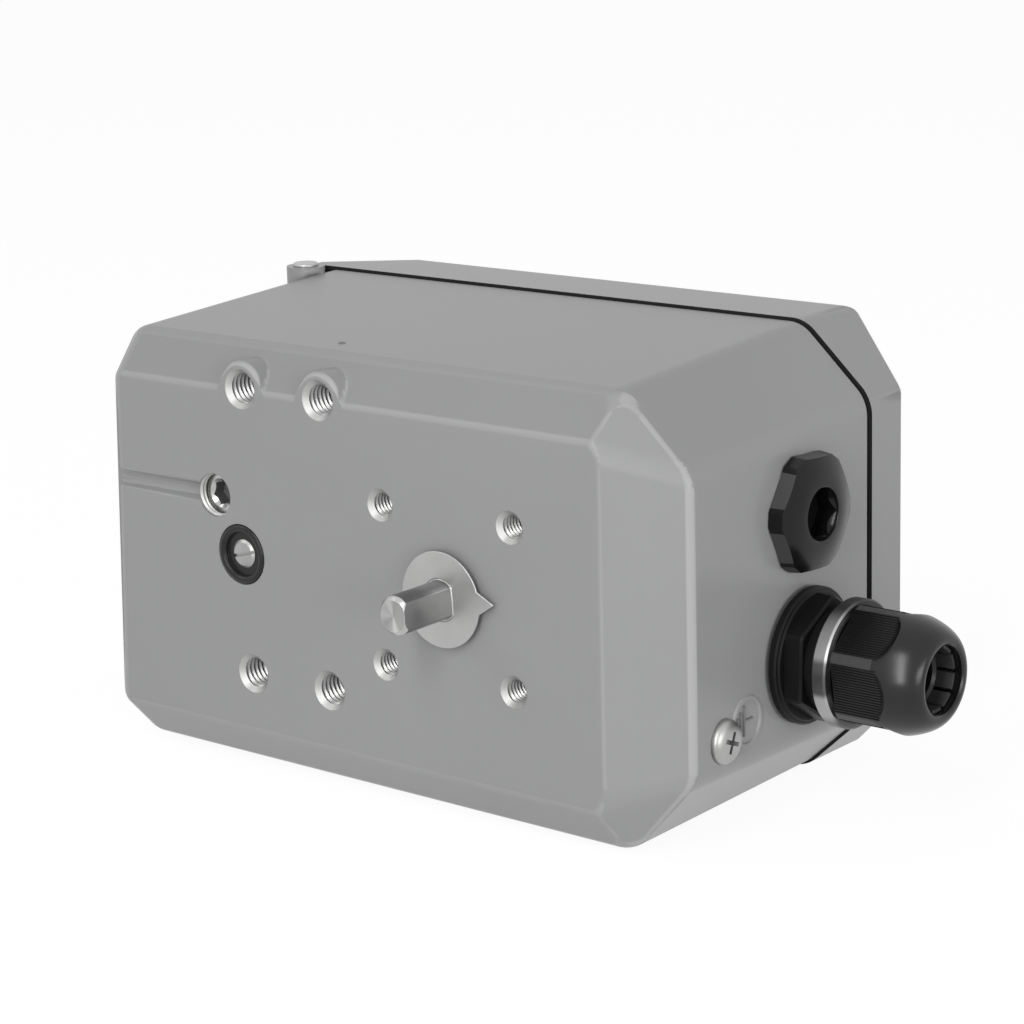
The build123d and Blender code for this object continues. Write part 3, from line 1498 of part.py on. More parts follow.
with BuildPart() as terminal_screws:
    with BuildSketch(depth_plane(terminal_y + terminal_height - terminal_screw_sink)):
        with Locations(*terminal_pole_points):
            Circle(terminal_screw_radius)
    extrude(amount=terminal_screw_length)
save(terminal_screws.part, "terminal_screws")
terminal_fixing = headed_screw(m3_head_radius, m3_head, m3_radius, terminal_ear_height + screw_grip - 1)
fixing_places = at_depth(terminal_post_points, terminal_y + terminal_ear_height)
save(copies(terminal_fixing, fixing_places), "terminal_fixing_screws")
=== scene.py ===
import bpy
import bmesh
import json
import math
from mathutils import Matrix, Vector


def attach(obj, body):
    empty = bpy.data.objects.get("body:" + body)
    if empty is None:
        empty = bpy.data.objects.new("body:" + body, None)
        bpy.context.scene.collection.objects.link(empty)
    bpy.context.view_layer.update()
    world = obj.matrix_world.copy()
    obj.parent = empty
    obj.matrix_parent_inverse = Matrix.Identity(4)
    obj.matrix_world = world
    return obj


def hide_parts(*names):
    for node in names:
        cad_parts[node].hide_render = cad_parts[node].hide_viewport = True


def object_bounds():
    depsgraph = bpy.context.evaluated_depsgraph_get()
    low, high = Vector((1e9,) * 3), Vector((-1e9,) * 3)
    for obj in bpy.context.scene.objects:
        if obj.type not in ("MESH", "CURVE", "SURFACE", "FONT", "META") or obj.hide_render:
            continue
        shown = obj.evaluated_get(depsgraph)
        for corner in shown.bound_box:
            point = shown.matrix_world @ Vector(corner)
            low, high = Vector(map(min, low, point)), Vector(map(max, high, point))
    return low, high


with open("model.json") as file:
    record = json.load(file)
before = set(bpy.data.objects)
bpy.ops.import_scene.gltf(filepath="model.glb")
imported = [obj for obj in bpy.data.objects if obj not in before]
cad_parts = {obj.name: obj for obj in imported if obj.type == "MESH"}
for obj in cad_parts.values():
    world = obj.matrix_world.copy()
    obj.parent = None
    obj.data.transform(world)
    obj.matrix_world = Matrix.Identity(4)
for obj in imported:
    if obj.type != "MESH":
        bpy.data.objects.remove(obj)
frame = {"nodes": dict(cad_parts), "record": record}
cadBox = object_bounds()
mm = 0.001
print("frame loaded:", len(frame["nodes"]), "nodes")

# camera fitted to the photo's hole centres and case edges
photoView = {"azimuth": 39.3, "elevation": 14.03, "roll": -1.56, "lens": 107.35,
             "place": (403.08, -469.82, 172.88)}


def addObject(name, data):
    added = bpy.data.objects.new(name, data)
    bpy.context.scene.collection.objects.link(added)
    return added


def placeCamera(view):
    az, el, roll = (math.radians(view[k]) for k in ("azimuth", "elevation", "roll"))
    back = Vector((math.sin(az) * math.cos(el), -math.cos(az) * math.cos(el), math.sin(el)))
    right = (-back).cross(Vector((0, 0, 1))).normalized()
    up = right.cross(-back)
    turnedRight = math.cos(roll) * right + math.sin(roll) * up
    turnedUp = -math.sin(roll) * right + math.cos(roll) * up
    turn = Matrix((turnedRight, turnedUp, back)).transposed().to_4x4()
    data = bpy.data.cameras.new("photoCamera")
    data.lens = view["lens"]
    data.sensor_width = 36
    data.clip_start = 0.01
    camera = addObject("photoCamera", data)
    camera.matrix_world = Matrix.Translation(Vector(view["place"]) * mm) @ turn
    bpy.context.scene.camera = camera


placeCamera(photoView)

# studio: pale floor, white surroundings, soft lamps
studio = {
    "floorSize": 6.0,
    "floorGap": 0.0002,
    "roomLight": 0.33,
    "floorPale": 0.8,  # what the floor throws back on the object
    "floorGlow": 0.93,  # what the camera sees of it, with a share of its shade
    "floorShade": 0.12,
    "lamps": [  # name, place, aims at, width, height, watts
        ("keyLamp", (0.46, -1.31, 0.4), (0, 0.03, 0), 0.22, 2.2, 17),
        ("sideLamp", (1.4, -0.3, 0.2), (0.03, 0.04, 0), 0.9, 0.5, 6.8),
        ("leftLamp", (-0.95, -0.8, 0.95), (0, 0.03, 0), 0.5, 0.5, 2.5),
    ],
}


def addNode(tree, kind, values=(), joins=(), **settings):
    # a node with its settings, its sockets' values and the outputs joined to them
    node = tree.nodes.new(kind if "Node" in kind else "ShaderNode" + kind)
    for key, value in settings.items():
        setattr(node, key, value)
    for socket, value in dict(values).items():
        node.inputs[socket].default_value = value
    for socket, source in dict(joins).items():
        tree.links.new(source, node.inputs[socket])
    return node


def grey(tone):
    return (tone, tone, tone, 1)


def rayMix(tree, light, seen):
    # what the camera, mirrors and glass see is plain white, and the rest lights the object
    rays = addNode(tree, "LightPath").outputs
    either = rays["Is Camera Ray"]
    for kind in ("Is Glossy Ray", "Is Transmission Ray"):
        either = addNode(tree, "Math", (), {0: either, 1: rays[kind]}, operation="MAXIMUM").outputs[0]
    return addNode(tree, "MixShader", (), {0: either, 1: light, 2: seen}).outputs[0]


def buildStudio():
    scene = bpy.context.scene
    scene.view_settings.view_transform = "Standard"
    world = bpy.data.worlds.new("paleRoom")
    scene.world = world
    world.use_nodes = True
    tree = world.node_tree
    tree.nodes.clear()
    room = addNode(tree, "Background", {"Color": grey(1), "Strength": studio["roomLight"]})
    white = addNode(tree, "Background", {"Color": grey(1), "Strength": 1.0})
    addNode(tree, "OutputWorld", (), {"Surface": rayMix(tree, room.outputs[0], white.outputs[0])})

    half = studio["floorSize"] / 2
    base = cadBox[0][2] - studio["floorGap"]
    sheet = bpy.data.meshes.new("floor")
    corners = [(x, y, base) for x, y in ((-half, -half), (half, -half), (half, half), (-half, half))]
    sheet.from_pydata(corners, [], [(0, 1, 2, 3)])
    floor = addObject("floor", sheet)
    look = bpy.data.materials.new("paleFloor")
    look.use_nodes = True
    tree = look.node_tree
    tree.nodes.clear()
    matt = addNode(tree, "BsdfDiffuse", {"Color": grey(studio["floorPale"])})
    shade = addNode(tree, "BsdfDiffuse", {"Color": grey(studio["floorShade"])})
    glow = addNode(tree, "Emission", {"Strength": studio["floorGlow"]})
    blend = addNode(tree, "AddShader", (), {0: glow.outputs[0], 1: shade.outputs[0]})
    addNode(tree, "OutputMaterial", (), {"Surface": rayMix(tree, matt.outputs[0], blend.outputs[0])})
    sheet.materials.append(look)

    for name, place, aim, width, height, watts in studio["lamps"]:
        data = bpy.data.lights.new(name, "AREA")
        data.shape = "RECTANGLE"
        data.size = width
        data.size_y = height
        data.energy = watts
        lamp = addObject(name, data)
        lamp.location = place
        lamp.rotation_euler = (Vector(aim) - Vector(place)).to_track_quat("-Z", "Y").to_euler()


buildStudio()
print("studio ready")

# finishes: colour, metal, roughness, how much both vary and in patches of what scale, and the fine relief
usual = dict(metal=0.0, vary=0.06, patch=60, grain=3000, relief=0.05, specular=0.5)
finishes = {
    # the case paint's edge tone is a painted highlight on its rounded edges
    "casePaint": dict(slot="case_paint", colour=(0.322, 0.323, 0.324), rough=0.3, vary=0.02, patch=9,
                      grain=1500, relief=0.04, specular=0.2, edgeHighlightTone=0.62),
    "steel": dict(slot="steel", colour=(0.56, 0.56, 0.55), metal=1.0, rough=0.26, grain=4000),
    # the turned end's sectors are painted highlight and shade in place of its streaked reflection
    "turnedSteel": dict(slot="steel", colour=(0.46, 0.46, 0.457), metal=1.0, rough=0.24, vary=0.05,
                        grain=4000, relief=0.03, rings=("Y", 1250, 0.35),
                        sectorHighlights=("Y", (0, 0, 0), [
                            (0.0, 0.95), (0.12, 0.72), (0.2, 0.85), (0.28, 1.3), (0.36, 0.8), (0.55, 0.75),
                            (0.72, 0.7), (0.8, 1.05), (0.9, 0.85), (1.0, 0.95)])),
    "bareMetal": dict(slot="steel", colour=(0.46, 0.46, 0.455), metal=1.0, rough=0.5, patch=150,
                      relief=0.06),
    # painted shade: a darker copy of the bare metal for the insides of the tapped holes and their threads
    "shadedThreadMetal": dict(slot="steel", colour=(0.33, 0.33, 0.327), metal=1.0, rough=0.36, patch=150),
    # painted shade: a dark steel for the insides of the socket and the cross recess
    "paintedShadeSteel": dict(slot="steel", colour=(0.14, 0.14, 0.14), metal=0.3, rough=0.6, vary=0.05, patch=90,
                        grain=2000, relief=0.02, specular=0.3),
    # painted reflection: a dark copy of the steel for the shaft's round
    "paintedReflectionSteel": dict(slot="steel", colour=(0.26, 0.26, 0.26), metal=1.0, rough=0.3, patch=150,
                      relief=0.04),
    "flatSteel": dict(slot="steel", colour=(0.36, 0.36, 0.358), metal=1.0, rough=0.34, vary=0.1, patch=120,
                      relief=0.04),
    # black for the rubber gasket, and painted shade on the rim faces in the seam
    "gasketBlackAndSeamShade": dict(slot="black_rubber", colour=(0.014, 0.014, 0.014), rough=0.7, vary=0.05, grain=1800,
                      specular=0.2),
    # darker paint: painted shade on the earth sign's bars, also worn by the top dot
    "markShadePaint": dict(slot="case_paint", colour=(0.2, 0.2, 0.203), rough=0.4, vary=0.02, patch=9,
                      grain=1500, relief=0.04, specular=0.42),
    "brightSteel": dict(slot="zinc_steel", colour=(0.47, 0.47, 0.465), metal=1.0, rough=0.24, vary=0.05,
                        patch=90, grain=5000, relief=0.04),
    "satinSteel": dict(slot="satin_steel", colour=(0.44, 0.44, 0.437), metal=1.0, rough=0.42, vary=0.05,
                       patch=80, grain=6000, relief=0.08),
    "zincSteel": dict(slot="zinc_steel", colour=(0.4, 0.4, 0.395), metal=1.0, rough=0.42, vary=0.08,
                      patch=120, grain=5000, relief=0.06),
    "bronze": dict(slot="bronze", colour=(0.42, 0.25, 0.12), metal=1.0, rough=0.38, vary=0.08, patch=120,
                   relief=0.08),
    "gearBrass": dict(slot="gear_brass", colour=(0.62, 0.46, 0.2), metal=1.0, rough=0.3, patch=120),
    "blackRubber": dict(slot="black_rubber", colour=(0.012, 0.012, 0.012), rough=0.34, grain=1800,
                        relief=0.08, specular=0.3),
    "blackPlastic": dict(slot="black_plastic", colour=(0.006, 0.006, 0.0062), rough=0.2, vary=0.04,
                         patch=50, grain=2400, specular=0.22),
    "glossBlack": dict(slot="black_plastic", colour=(0.006, 0.006, 0.0062), rough=0.25, vary=0.03, patch=50,
                       grain=2400, relief=0.03, specular=0.42),
    "mattBlack": dict(slot="black_plastic", colour=(0.006, 0.006, 0.0062), rough=0.45, vary=0.05, patch=50,
                      grain=2400, relief=0.08, specular=0.14),
    # a paler black: the gland fingers' own plastic, and painted light on the nut's corners and the blind
    # plug's sides
    "darkPlasticAndHighlight": dict(slot="black_plastic", colour=(0.045, 0.045, 0.046), rough=0.45, patch=50,
                        grain=2400, relief=0.07, specular=0.4),
    "greyPlastic": dict(slot="grey_plastic", colour=(0.2, 0.2, 0.205), rough=0.5, vary=0.05, patch=40,
                        grain=2200, relief=0.1, specular=0.4),
    # the ring's lighter sectors are a painted highlight
    "nickelRing": dict(slot="nickel_ring", colour=(0.36, 0.36, 0.36), metal=1.0, rough=0.42, patch=90,
                       grain=3500,
                       sectorHighlights=("X", (0, 50, -15.2), [
                           (0.0, 0.25), (0.035, 0.3), (0.055, 1.2), (0.1, 1.1), (0.15, 0.35), (0.3, 0.3),
                           (0.74, 0.12), (0.8, 0.3), (0.85, 1.15), (0.945, 1.35), (0.965, 0.4),
                           (1.0, 0.25)])),
    "castAluminium": dict(slot="cast_aluminium", colour=(0.45, 0.45, 0.44), metal=1.0, rough=0.5, vary=0.08,
                          grain=1400, relief=0.25),
    "boardGreen": dict(slot="board_green", colour=(0.02, 0.14, 0.05), rough=0.35, vary=0.12, patch=200,
                       grain=900, relief=0.1),
    "displayGlass": dict(slot="display_glass", colour=(0.33, 0.38, 0.3), rough=0.15, vary=0.03, patch=40,
                         grain=4000, relief=0.02),
    "terminalGreen": dict(slot="terminal_green", colour=(0.04, 0.24, 0.09), rough=0.45, grain=2200,
                          relief=0.08),
    "lightKeys": dict(slot="light_keys", colour=(0.55, 0.55, 0.53), rough=0.5, vary=0.04, grain=2200,
                      relief=0.08),
    "clearPane": dict(slot="clear_pane", colour=(0.92, 0.94, 0.95), rough=0.04, vary=0.01, patch=20,
                      relief=0.01, clear=True),
}
looks = {}
patchSpan = (0.3, 0.7)  # the part of the noise that is spread over a finish's variation
toneShare, roughShare = 1.6, 0.7  # how strongly that variation acts on colour and roughness
grainHigh, latheHigh = 0.0003, 0.00003


def makeLook(name, facts):
    look = bpy.data.materials.new(name)
    look.use_nodes = True
    tree = look.node_tree
    shader = tree.nodes["Principled BSDF"]
    spot = addNode(tree, "TexCoord").outputs["Object"]
    patches = addNode(tree, "TexNoise", {"Scale": facts["patch"], "Detail": 4}, {"Vector": spot}).outputs[0]
    grain = addNode(tree, "TexNoise", {"Scale": facts["grain"], "Detail": 2}, {"Vector": spot}).outputs[0]
    vary = facts["vary"]
    tones = addNode(tree, "ValToRGB", (), {"Fac": patches})
    for element, place, way in zip(tones.color_ramp.elements, patchSpan, (-1, 1)):
        element.position = place
        element.color = [min(1.0, c * (1 + way * toneShare * vary)) for c in facts["colour"]] + [1]
    colour = tones.outputs["Color"]
    if "sectorHighlights" in facts:  # painted highlight and shade: lighter and darker sectors round an axis, standing in for the streaked reflection of a turned face or a bright ring
        axis, centre, stops = facts["sectorHighlights"]
        back = [-c * mm for c in centre]
        moved = addNode(tree, "Mapping", {"Location": back}, {"Vector": spot}, vector_type="POINT")
        parts = addNode(tree, "SeparateXYZ", (), {"Vector": moved.outputs["Vector"]}).outputs
        flat = addNode(tree, "CombineXYZ", (), {"X": parts["X" if axis == "Y" else "Y"], "Y": parts["Z"]})
        sweep = addNode(tree, "TexGradient", (), {"Vector": flat.outputs["Vector"]}, gradient_type="RADIAL")
        highlightBands = addNode(tree, "ValToRGB", (), {"Fac": sweep.outputs["Fac"]})
        highlightBands.color_ramp.interpolation = "EASE"
        for k, (place, tone) in enumerate(stops):
            stop = highlightBands.color_ramp.elements[k] if k < 2 else highlightBands.color_ramp.elements.new(place)
            stop.position = place
            stop.color = grey(tone)
        paintedSectors = addNode(tree, "Mix", {"Factor": 1.0}, {"A": colour, "B": highlightBands.outputs["Color"]},
                         data_type="RGBA", blend_type="MULTIPLY")
        colour = paintedSectors.outputs["Result"]
    if "edgeHighlightTone" in facts:  # painted highlight: rounded edges, marked by the piece's own attribute, are painted paler in place of lamp highlights
        highlightShare = addNode(tree, "Attribute", attribute_name="edge").outputs["Fac"]
        tone = {"B": grey(facts["edgeHighlightTone"])}
        paintedHighlight = addNode(tree, "Mix", tone, {"Factor": highlightShare, "A": colour}, data_type="RGBA")
        colour = paintedHighlight.outputs["Result"]
    tree.links.new(colour, shader.inputs["Base Color"])
    worn = addNode(tree, "MapRange", {
        "From Min": patchSpan[0], "From Max": patchSpan[1],
        "To Min": facts["rough"] - vary * roughShare,
        "To Max": facts["rough"] + vary * roughShare}, {"Value": patches})
    tree.links.new(worn.outputs["Result"], shader.inputs["Roughness"])
    bump = addNode(tree, "Bump", {"Strength": facts["relief"], "Distance": grainHigh}, {"Height": grain})
    if "rings" in facts:  # lathe marks round an axis
        axis, scale, depth = facts["rings"]
        lathe = addNode(tree, "TexWave", {"Scale": scale, "Distortion": 0.4}, {"Vector": spot},
                        wave_type="RINGS", rings_direction=axis)
        bump = addNode(tree, "Bump", {"Strength": depth, "Distance": latheHigh},
                       {"Height": lathe.outputs["Fac"], "Normal": bump.outputs["Normal"]})
    tree.links.new(bump.outputs["Normal"], shader.inputs["Normal"])
    shader.inputs["Metallic"].default_value = facts["metal"]
    shader.inputs["Specular IOR Level"].default_value = facts["specular"]
    if facts.get("clear"):
        shader.inputs["Transmission Weight"].default_value = 1.0
        shader.inputs["IOR"].default_value = 1.45
    looks[name] = look


for name, facts in finishes.items():
    makeLook(name, {**usual, **facts})
print("finishes ready:", len(looks))

# which finish each CAD node wears
wears = {
    "casePaint": ["housing", "cover"],
    "steel": ["hinge_pin", "pot_shaft", "retaining_ring", "gear_set_screw"],
    "turnedSteel": ["sensor_shaft"],
    "satinSteel": ["pointer_disc", "sensor_bracket"],
    "zincSteel": ["earth_screw", "slotted_screw", "blanking_plug", "cover_screws", "window_frame_screws",
                  "bracket_screws", "air_block_screws", "converter_screws", "inner_earth_screw",
                  "module_screws", "terminal_screws", "terminal_fixing_screws", "pot_nut"],
    "bronze": ["front_bush", "rear_bush"],
    "gearBrass": ["drive_gear", "pot_pinion"],
    "blackRubber": ["cover_gasket", "window_seal", "shaft_seal", "air_port_seal", "manifold_gasket",
                    "vent_seal", "blind_plug_seal", "gland_seal", "gland_insert"],
    "blackPlastic": ["vent_plug", "blind_plug", "gland_body", "gland_nut", "gland_clamp", "window_frame",
                     "potentiometer"],
    "greyPlastic": ["module_cover", "ip_converter"],
    "nickelRing": ["gland_ring"],
    "castAluminium": ["air_block"],
    "boardGreen": ["circuit_board"],
    "displayGlass": ["lcd_display"],
    "terminalGreen": ["terminal_block"],
    "lightKeys": ["button_mode", "button_down", "button_up", "button_enter", "key_switches"],
    "clearPane": ["window_pane"],
}
bodyOf = {node: body for body, nodes in frame["record"]["behaviour"]["bodies"].items() for node in nodes}
for finish, nodes in wears.items():
    for node in nodes:
        data = frame["nodes"][node].data
        data.materials.clear()
        data.materials.append(looks[finish])
print("CAD nodes wear their finishes")

# the limits for welding, joining flat faces, keeping an edge crisp and rounding it
weldWithin, flatWithin = 0.002 * mm, math.radians(0.2)
crispFrom, bevelFrom = math.radians(28), math.radians(32)
facing = 0.98  # a face looks along an axis where its normal reaches this share of it


def mergedCopy(node):
    # a CAD node's mesh is loose triangles, so a copy is welded and its flat faces joined
    form = bmesh.new()
    form.from_mesh(frame["nodes"][node].data)
    bmesh.ops.remove_doubles(form, verts=form.verts, dist=weldWithin)
    bmesh.ops.dissolve_limit(form, angle_limit=flatWithin, verts=form.verts, edges=form.edges)
    return form


def meshOf(name, form):
    mesh = bpy.data.meshes.new(name)
    form.to_mesh(mesh)
    form.free()
    return mesh


def meshWithModifiers(draft):
    return bpy.data.meshes.new_from_object(draft.evaluated_get(bpy.context.evaluated_depsgraph_get()))


def placePiece(name, mesh, node, added):
    # a piece rides on its node's body and stands in for the node, unless it is added to it
    piece = addObject(name, mesh)
    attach(piece, bodyOf[node])
    if not added:
        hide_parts(node)


def softened(name, form, node, finish, bevel=0.0, others=(), added=False):
    # smooth faces, crisp or slightly rounded edges, flat faces kept flat by their area
    mesh = meshOf(name, form)
    for each in (finish,) + tuple(others):
        mesh.materials.append(looks[each])
    mesh.shade_smooth()
    mesh.set_sharp_from_angle(angle=crispFrom)
    draft = addObject(name + "Draft", mesh)
    if bevel:
        edge = draft.modifiers.new("edge", "BEVEL")
        edge.width = bevel
        edge.segments = 2
        edge.material = 0 if others else -1
        edge.limit_method = "ANGLE"
        edge.angle_limit = bevelFrom
        edge.use_clamp_overlap = True
    weigh = draft.modifiers.new("weigh", "WEIGHTED_NORMAL")
    weigh.keep_sharp = True
    done = meshWithModifiers(draft)
    done.name = name
    bpy.data.objects.remove(draft)
    placePiece(name, done, node, added)


def formOf(points, faces):
    form = bmesh.new()
    verts = [form.verts.new(Vector(p) * mm) for p in points]
    for face in faces:
        form.faces.new([verts[i] for i in face])
    bmesh.ops.recalc_face_normals(form, faces=form.faces)
    return form


def evenAngles(count, extra=()):
    turns = {round(360 * i / count, 4) for i in range(count)} | {round(a % 360, 4) for a in extra}
    return [math.radians(a) for a in sorted(turns)]


def polarForm(axis, centre, rings, angles, closed=False):
    # rings of (along, radius) round an axis, each a number or a function of the angle
    points, loops, faces = [], [], []
    cu, cv = centre
    put = {
        "X": lambda a, u, v: (a, cu + u, cv + v),
        "Y": lambda a, u, v: (cu + u, a, cv + v),
        "Z": lambda a, u, v: (cu + u, cv + v, a),
    }[axis]
    for along, radius in rings:
        if radius == 0:
            loops.append([len(points)])
            points.append(put(along, 0, 0))
            continue
        loop = []
        for angle in angles:
            r = radius(angle) if callable(radius) else radius
            a = along(angle) if callable(along) else along
            loop.append(len(points))
            points.append(put(a, r * math.cos(angle), r * math.sin(angle)))
        loops.append(loop)
    pairs = list(zip(loops, loops[1:]))
    if closed:
        pairs.append((loops[-1], loops[0]))
    for low, high in pairs:
        for i in range(len(angles)):
            j = (i + 1) % len(angles)
            if len(low) == 1:
                faces.append((low[0], high[i], high[j]))
            elif len(high) == 1:
                faces.append((low[i], low[j], high[0]))
            else:
                faces.append((low[i], low[j], high[j], high[i]))
    return formOf(points, faces)


def hexRadius(flat, corner, turn):
    # radius of a hexagon whose corners, at turn + 60 k degrees, are cut flat
    def radius(angle):
        offCorner = (math.degrees(angle) - turn + 30) % 60 - 30
        offFlat = abs(offCorner) - 30
        toFlat = flat / math.cos(math.radians(offFlat))
        toCorner = corner / math.cos(math.radians(offCorner))
        return min(toFlat, toCorner)
    return radius


def cutAngles(flat, corner, turn):
    # the angles where the flats of hexRadius meet its cut corners
    half = math.degrees(math.atan((corner / flat - math.cos(math.radians(30))) / math.sin(math.radians(30))))
    return [turn + 60 * k + side * (30 - half) for k in range(6) for side in (-1, 1)]


def repeatGroup():
    # geometry nodes: one unit on every point, turned and stretched by the point's own values
    group = bpy.data.node_groups.new("repeatOnPoints", "GeometryNodeTree")
    for name, kind in (("Points", "Geometry"), ("Unit", "Object"), ("Finish", "Material")):
        group.interface.new_socket(name, in_out="INPUT", socket_type="NodeSocket" + kind)
    group.interface.new_socket("Result", in_out="OUTPUT", socket_type="NodeSocketGeometry")
    given = addNode(group, "NodeGroupInput").outputs
    unit = addNode(group, "GeometryNodeObjectInfo", (), {"Object": given["Unit"]})
    turn, reach = (addNode(group, "GeometryNodeInputNamedAttribute", {"Name": name},
                           data_type="FLOAT_VECTOR").outputs["Attribute"] for name in ("turn", "reach"))
    spread = addNode(group, "GeometryNodeInstanceOnPoints", (), {
        "Points": given["Points"], "Instance": unit.outputs["Geometry"],
        "Rotation": turn, "Scale": reach})
    real = addNode(group, "GeometryNodeRealizeInstances", (), {"Geometry": spread.outputs["Instances"]})
    coat = addNode(group, "GeometryNodeSetMaterial", (), {
        "Geometry": real.outputs["Geometry"], "Material": given["Finish"]})
    addNode(group, "NodeGroupOutput", (), {0: coat.outputs["Geometry"]})
    return group


repeater = repeatGroup()
sockets = {s.name: s.identifier for s in repeater.interface.items_tree if s.in_out == "INPUT"}


def repeated(name, unitForm, places, finish, node):
    # places: (point in mm, turn in degrees about X, Y and Z, stretch along X, Y and Z)
    unitMesh = meshOf(name + "Unit", unitForm)
    unitMesh.shade_smooth()
    unitMesh.set_sharp_from_angle(angle=crispFrom)
    unit = addObject(name + "Unit", unitMesh)
    dots = bpy.data.meshes.new(name + "Dots")
    dots.from_pydata([Vector(p) * mm for p, _, _ in places], [], [])
    for key, index in (("turn", 1), ("reach", 2)):
        values = dots.attributes.new(key, "FLOAT_VECTOR", "POINT")
        for i, place in enumerate(places):
            values.data[i].vector = [math.radians(v) for v in place[index]] if index == 1 else place[index]
    draft = addObject(name + "Draft", dots)
    spread = draft.modifiers.new("repeat", "NODES")
    spread.node_group = repeater
    spread[sockets["Unit"]] = unit
    spread[sockets["Finish"]] = looks[finish]
    done = meshWithModifiers(draft)
    done.name = name
    for each in (draft, unit):
        bpy.data.objects.remove(each)
    placePiece(name, done, node, True)


def stripForm(sections):
    # a solid strip through sections of four points each
    points = [point for section in sections for point in section]
    last = len(points) - 4
    faces = []
    for start in range(0, last, 4):
        for k in range(4):
            a, b = start + k, start + (k + 1) % 4
            faces.append((a, b, b + 4, a + 4))
    faces += [(0, 1, 2, 3), tuple(last + k for k in range(4))]
    return formOf(points, faces)


# the foot and the crest are shares of the pitch, the fade is in turns
threadShape = {"into": 0.04, "foot": 0.47, "crest": 0.07, "fade": 0.4}


def threadForm(radius, depth, pitch, start, end, steps=36):
    # one helical ridge standing inwards from a bore along +Y, fading at both ends
    foot, crest = pitch * threadShape["foot"], pitch * threadShape["crest"]
    out, fadeSteps = radius + threadShape["into"], steps * threadShape["fade"]
    count = int(steps * ((end - start) / pitch))
    sections = []
    for i in range(count + 1):
        angle = 2 * math.pi * i / steps
        y = start + pitch * i / steps
        inside = radius - depth * min(1.0, i / fadeSteps, (count - i) / fadeSteps + 0.02)
        sections.append([(r * math.cos(angle), y + dy, r * math.sin(angle))
                         for r, dy in ((out, -foot), (inside, -crest), (inside, crest), (out, foot))])
    return stripForm(sections)


def cutBy(form, cutter):
    # a form less another, both closed
    base = addObject("cutBase", meshOf("cutBase", form))
    tool = addObject("cutTool", meshOf("cutTool", cutter))
    cut = base.modifiers.new("cut", "BOOLEAN")
    cut.operation = "DIFFERENCE"
    cut.solver = "EXACT"
    cut.object = tool
    mesh = meshWithModifiers(base)
    for each in (base, tool):
        bpy.data.objects.remove(each)
    result = bmesh.new()
    result.from_mesh(mesh)
    bpy.data.meshes.remove(mesh)
    return result


def joined(forms):
    whole = bmesh.new()
    for form in forms:
        mesh = meshOf("part", form)
        whole.from_mesh(mesh)
        bpy.data.meshes.remove(mesh)
    return whole


def blockForm(low, high, shrink=0.0, axis=0):
    # a block, its high end along an axis drawn in all round by shrink
    points = []
    for k in range(8):
        p = [high[n] if k >> n & 1 else low[n] for n in range(3)]
        if k >> axis & 1:
            for n in range(3):
                if n != axis:
                    p[n] += shrink if not k >> n & 1 else -shrink
        points.append(p)
    return formOf(points, [(0, 2, 3, 1), (4, 5, 7, 6), (0, 1, 5, 4), (2, 6, 7, 3), (0, 4, 6, 2),
                           (1, 3, 7, 5)])


round96 = evenAngles(96)
round64 = evenAngles(64)
print("shape tools ready")

# the case, with bare metal in its tapped holes, painted darker inside them as shade
caseShape = {
    "m6": {"radius": 3.0, "sink": 3.62, "depth": 8.0, "pitch": 1.0, "ridge": 0.5,
           "at": [(x, z) for x in (-17.678, 17.678) for z in (-17.678, 17.678)]},
    "m8": {"radius": 4.0, "sink": 4.52, "depth": 10.0, "pitch": 1.25, "ridge": 0.62,
           "at": [(-57.5, 38.5), (-34.5, 38.5), (-57.5, -26.5), (-34.5, -26.5)]},
    "mouth": {"inside": 0.06, "front": 0.03, "land": 0.12, "slope": 0.5, "back": 0.9, "into": 0.02,
              "toThread": 0.75, "threadEnd": 0.4},
    "seam": 76.0, "seamIn": 0.5,
    # how near to these places their vertices and faces are sought
    "near": {"seam": 0.05, "rim": 0.3, "groove": 0.1, "back": 0.01, "holeEnd": 3},
    "groove": {"z": 13.7, "half": 2.45, "to": -61.0, "floor": (0.5, 1.4), "deeper": 1.2},
    "boss": {"radius": 6.2, "round": 1.3, "least": 0.02, "front": -0.4, "past": 0.2, "steps": 8,
             "rise": (0.08, 0.6)},  # the sine of the angle where the rounding starts, and over which it grows
}


# painted highlight: how much paler the rounded edges are painted, in place of the lamps' highlights on them:
# on the ridges that run in depth, and round the back
edgeHighlightShares = {"width": 1.6, "deep": 3.0, "back": 1.5, "tilt": (0.12, 0.985), "rim": (4.9, 6.4), "rimTurn": 0.2,
             "ridge": 0.7, "bossRim": 0.34, "flatRim": 0.14, "side": 0.34, "sideTurn": 0.3, "top": 0.12}

# how far the visible case stands out past the plain solid, each with the places where it starts and over
# which it grows or fades, in mm
fuller = {"depth": (50, 25), "below": (-34, 12),
          "drop": 1.2, "dropMore": (0.8, -100, 110), "dropLess": (0.8, 44, 12),
          "left": (-86, 12), "leftDepth": (3, 9), "lean": (1.3, 35, 80, 3.2), "leanAbove": 34,
          "lift": 1.4, "liftLeft": 8, "liftUp": (38, 6), "liftDepth": (58, 14), "underRoof": 0.15}


def smooth(value):
    # 0 to 1 with soft ends
    value = max(0.0, min(1.0, value))
    return value * value * (3 - 2 * value)


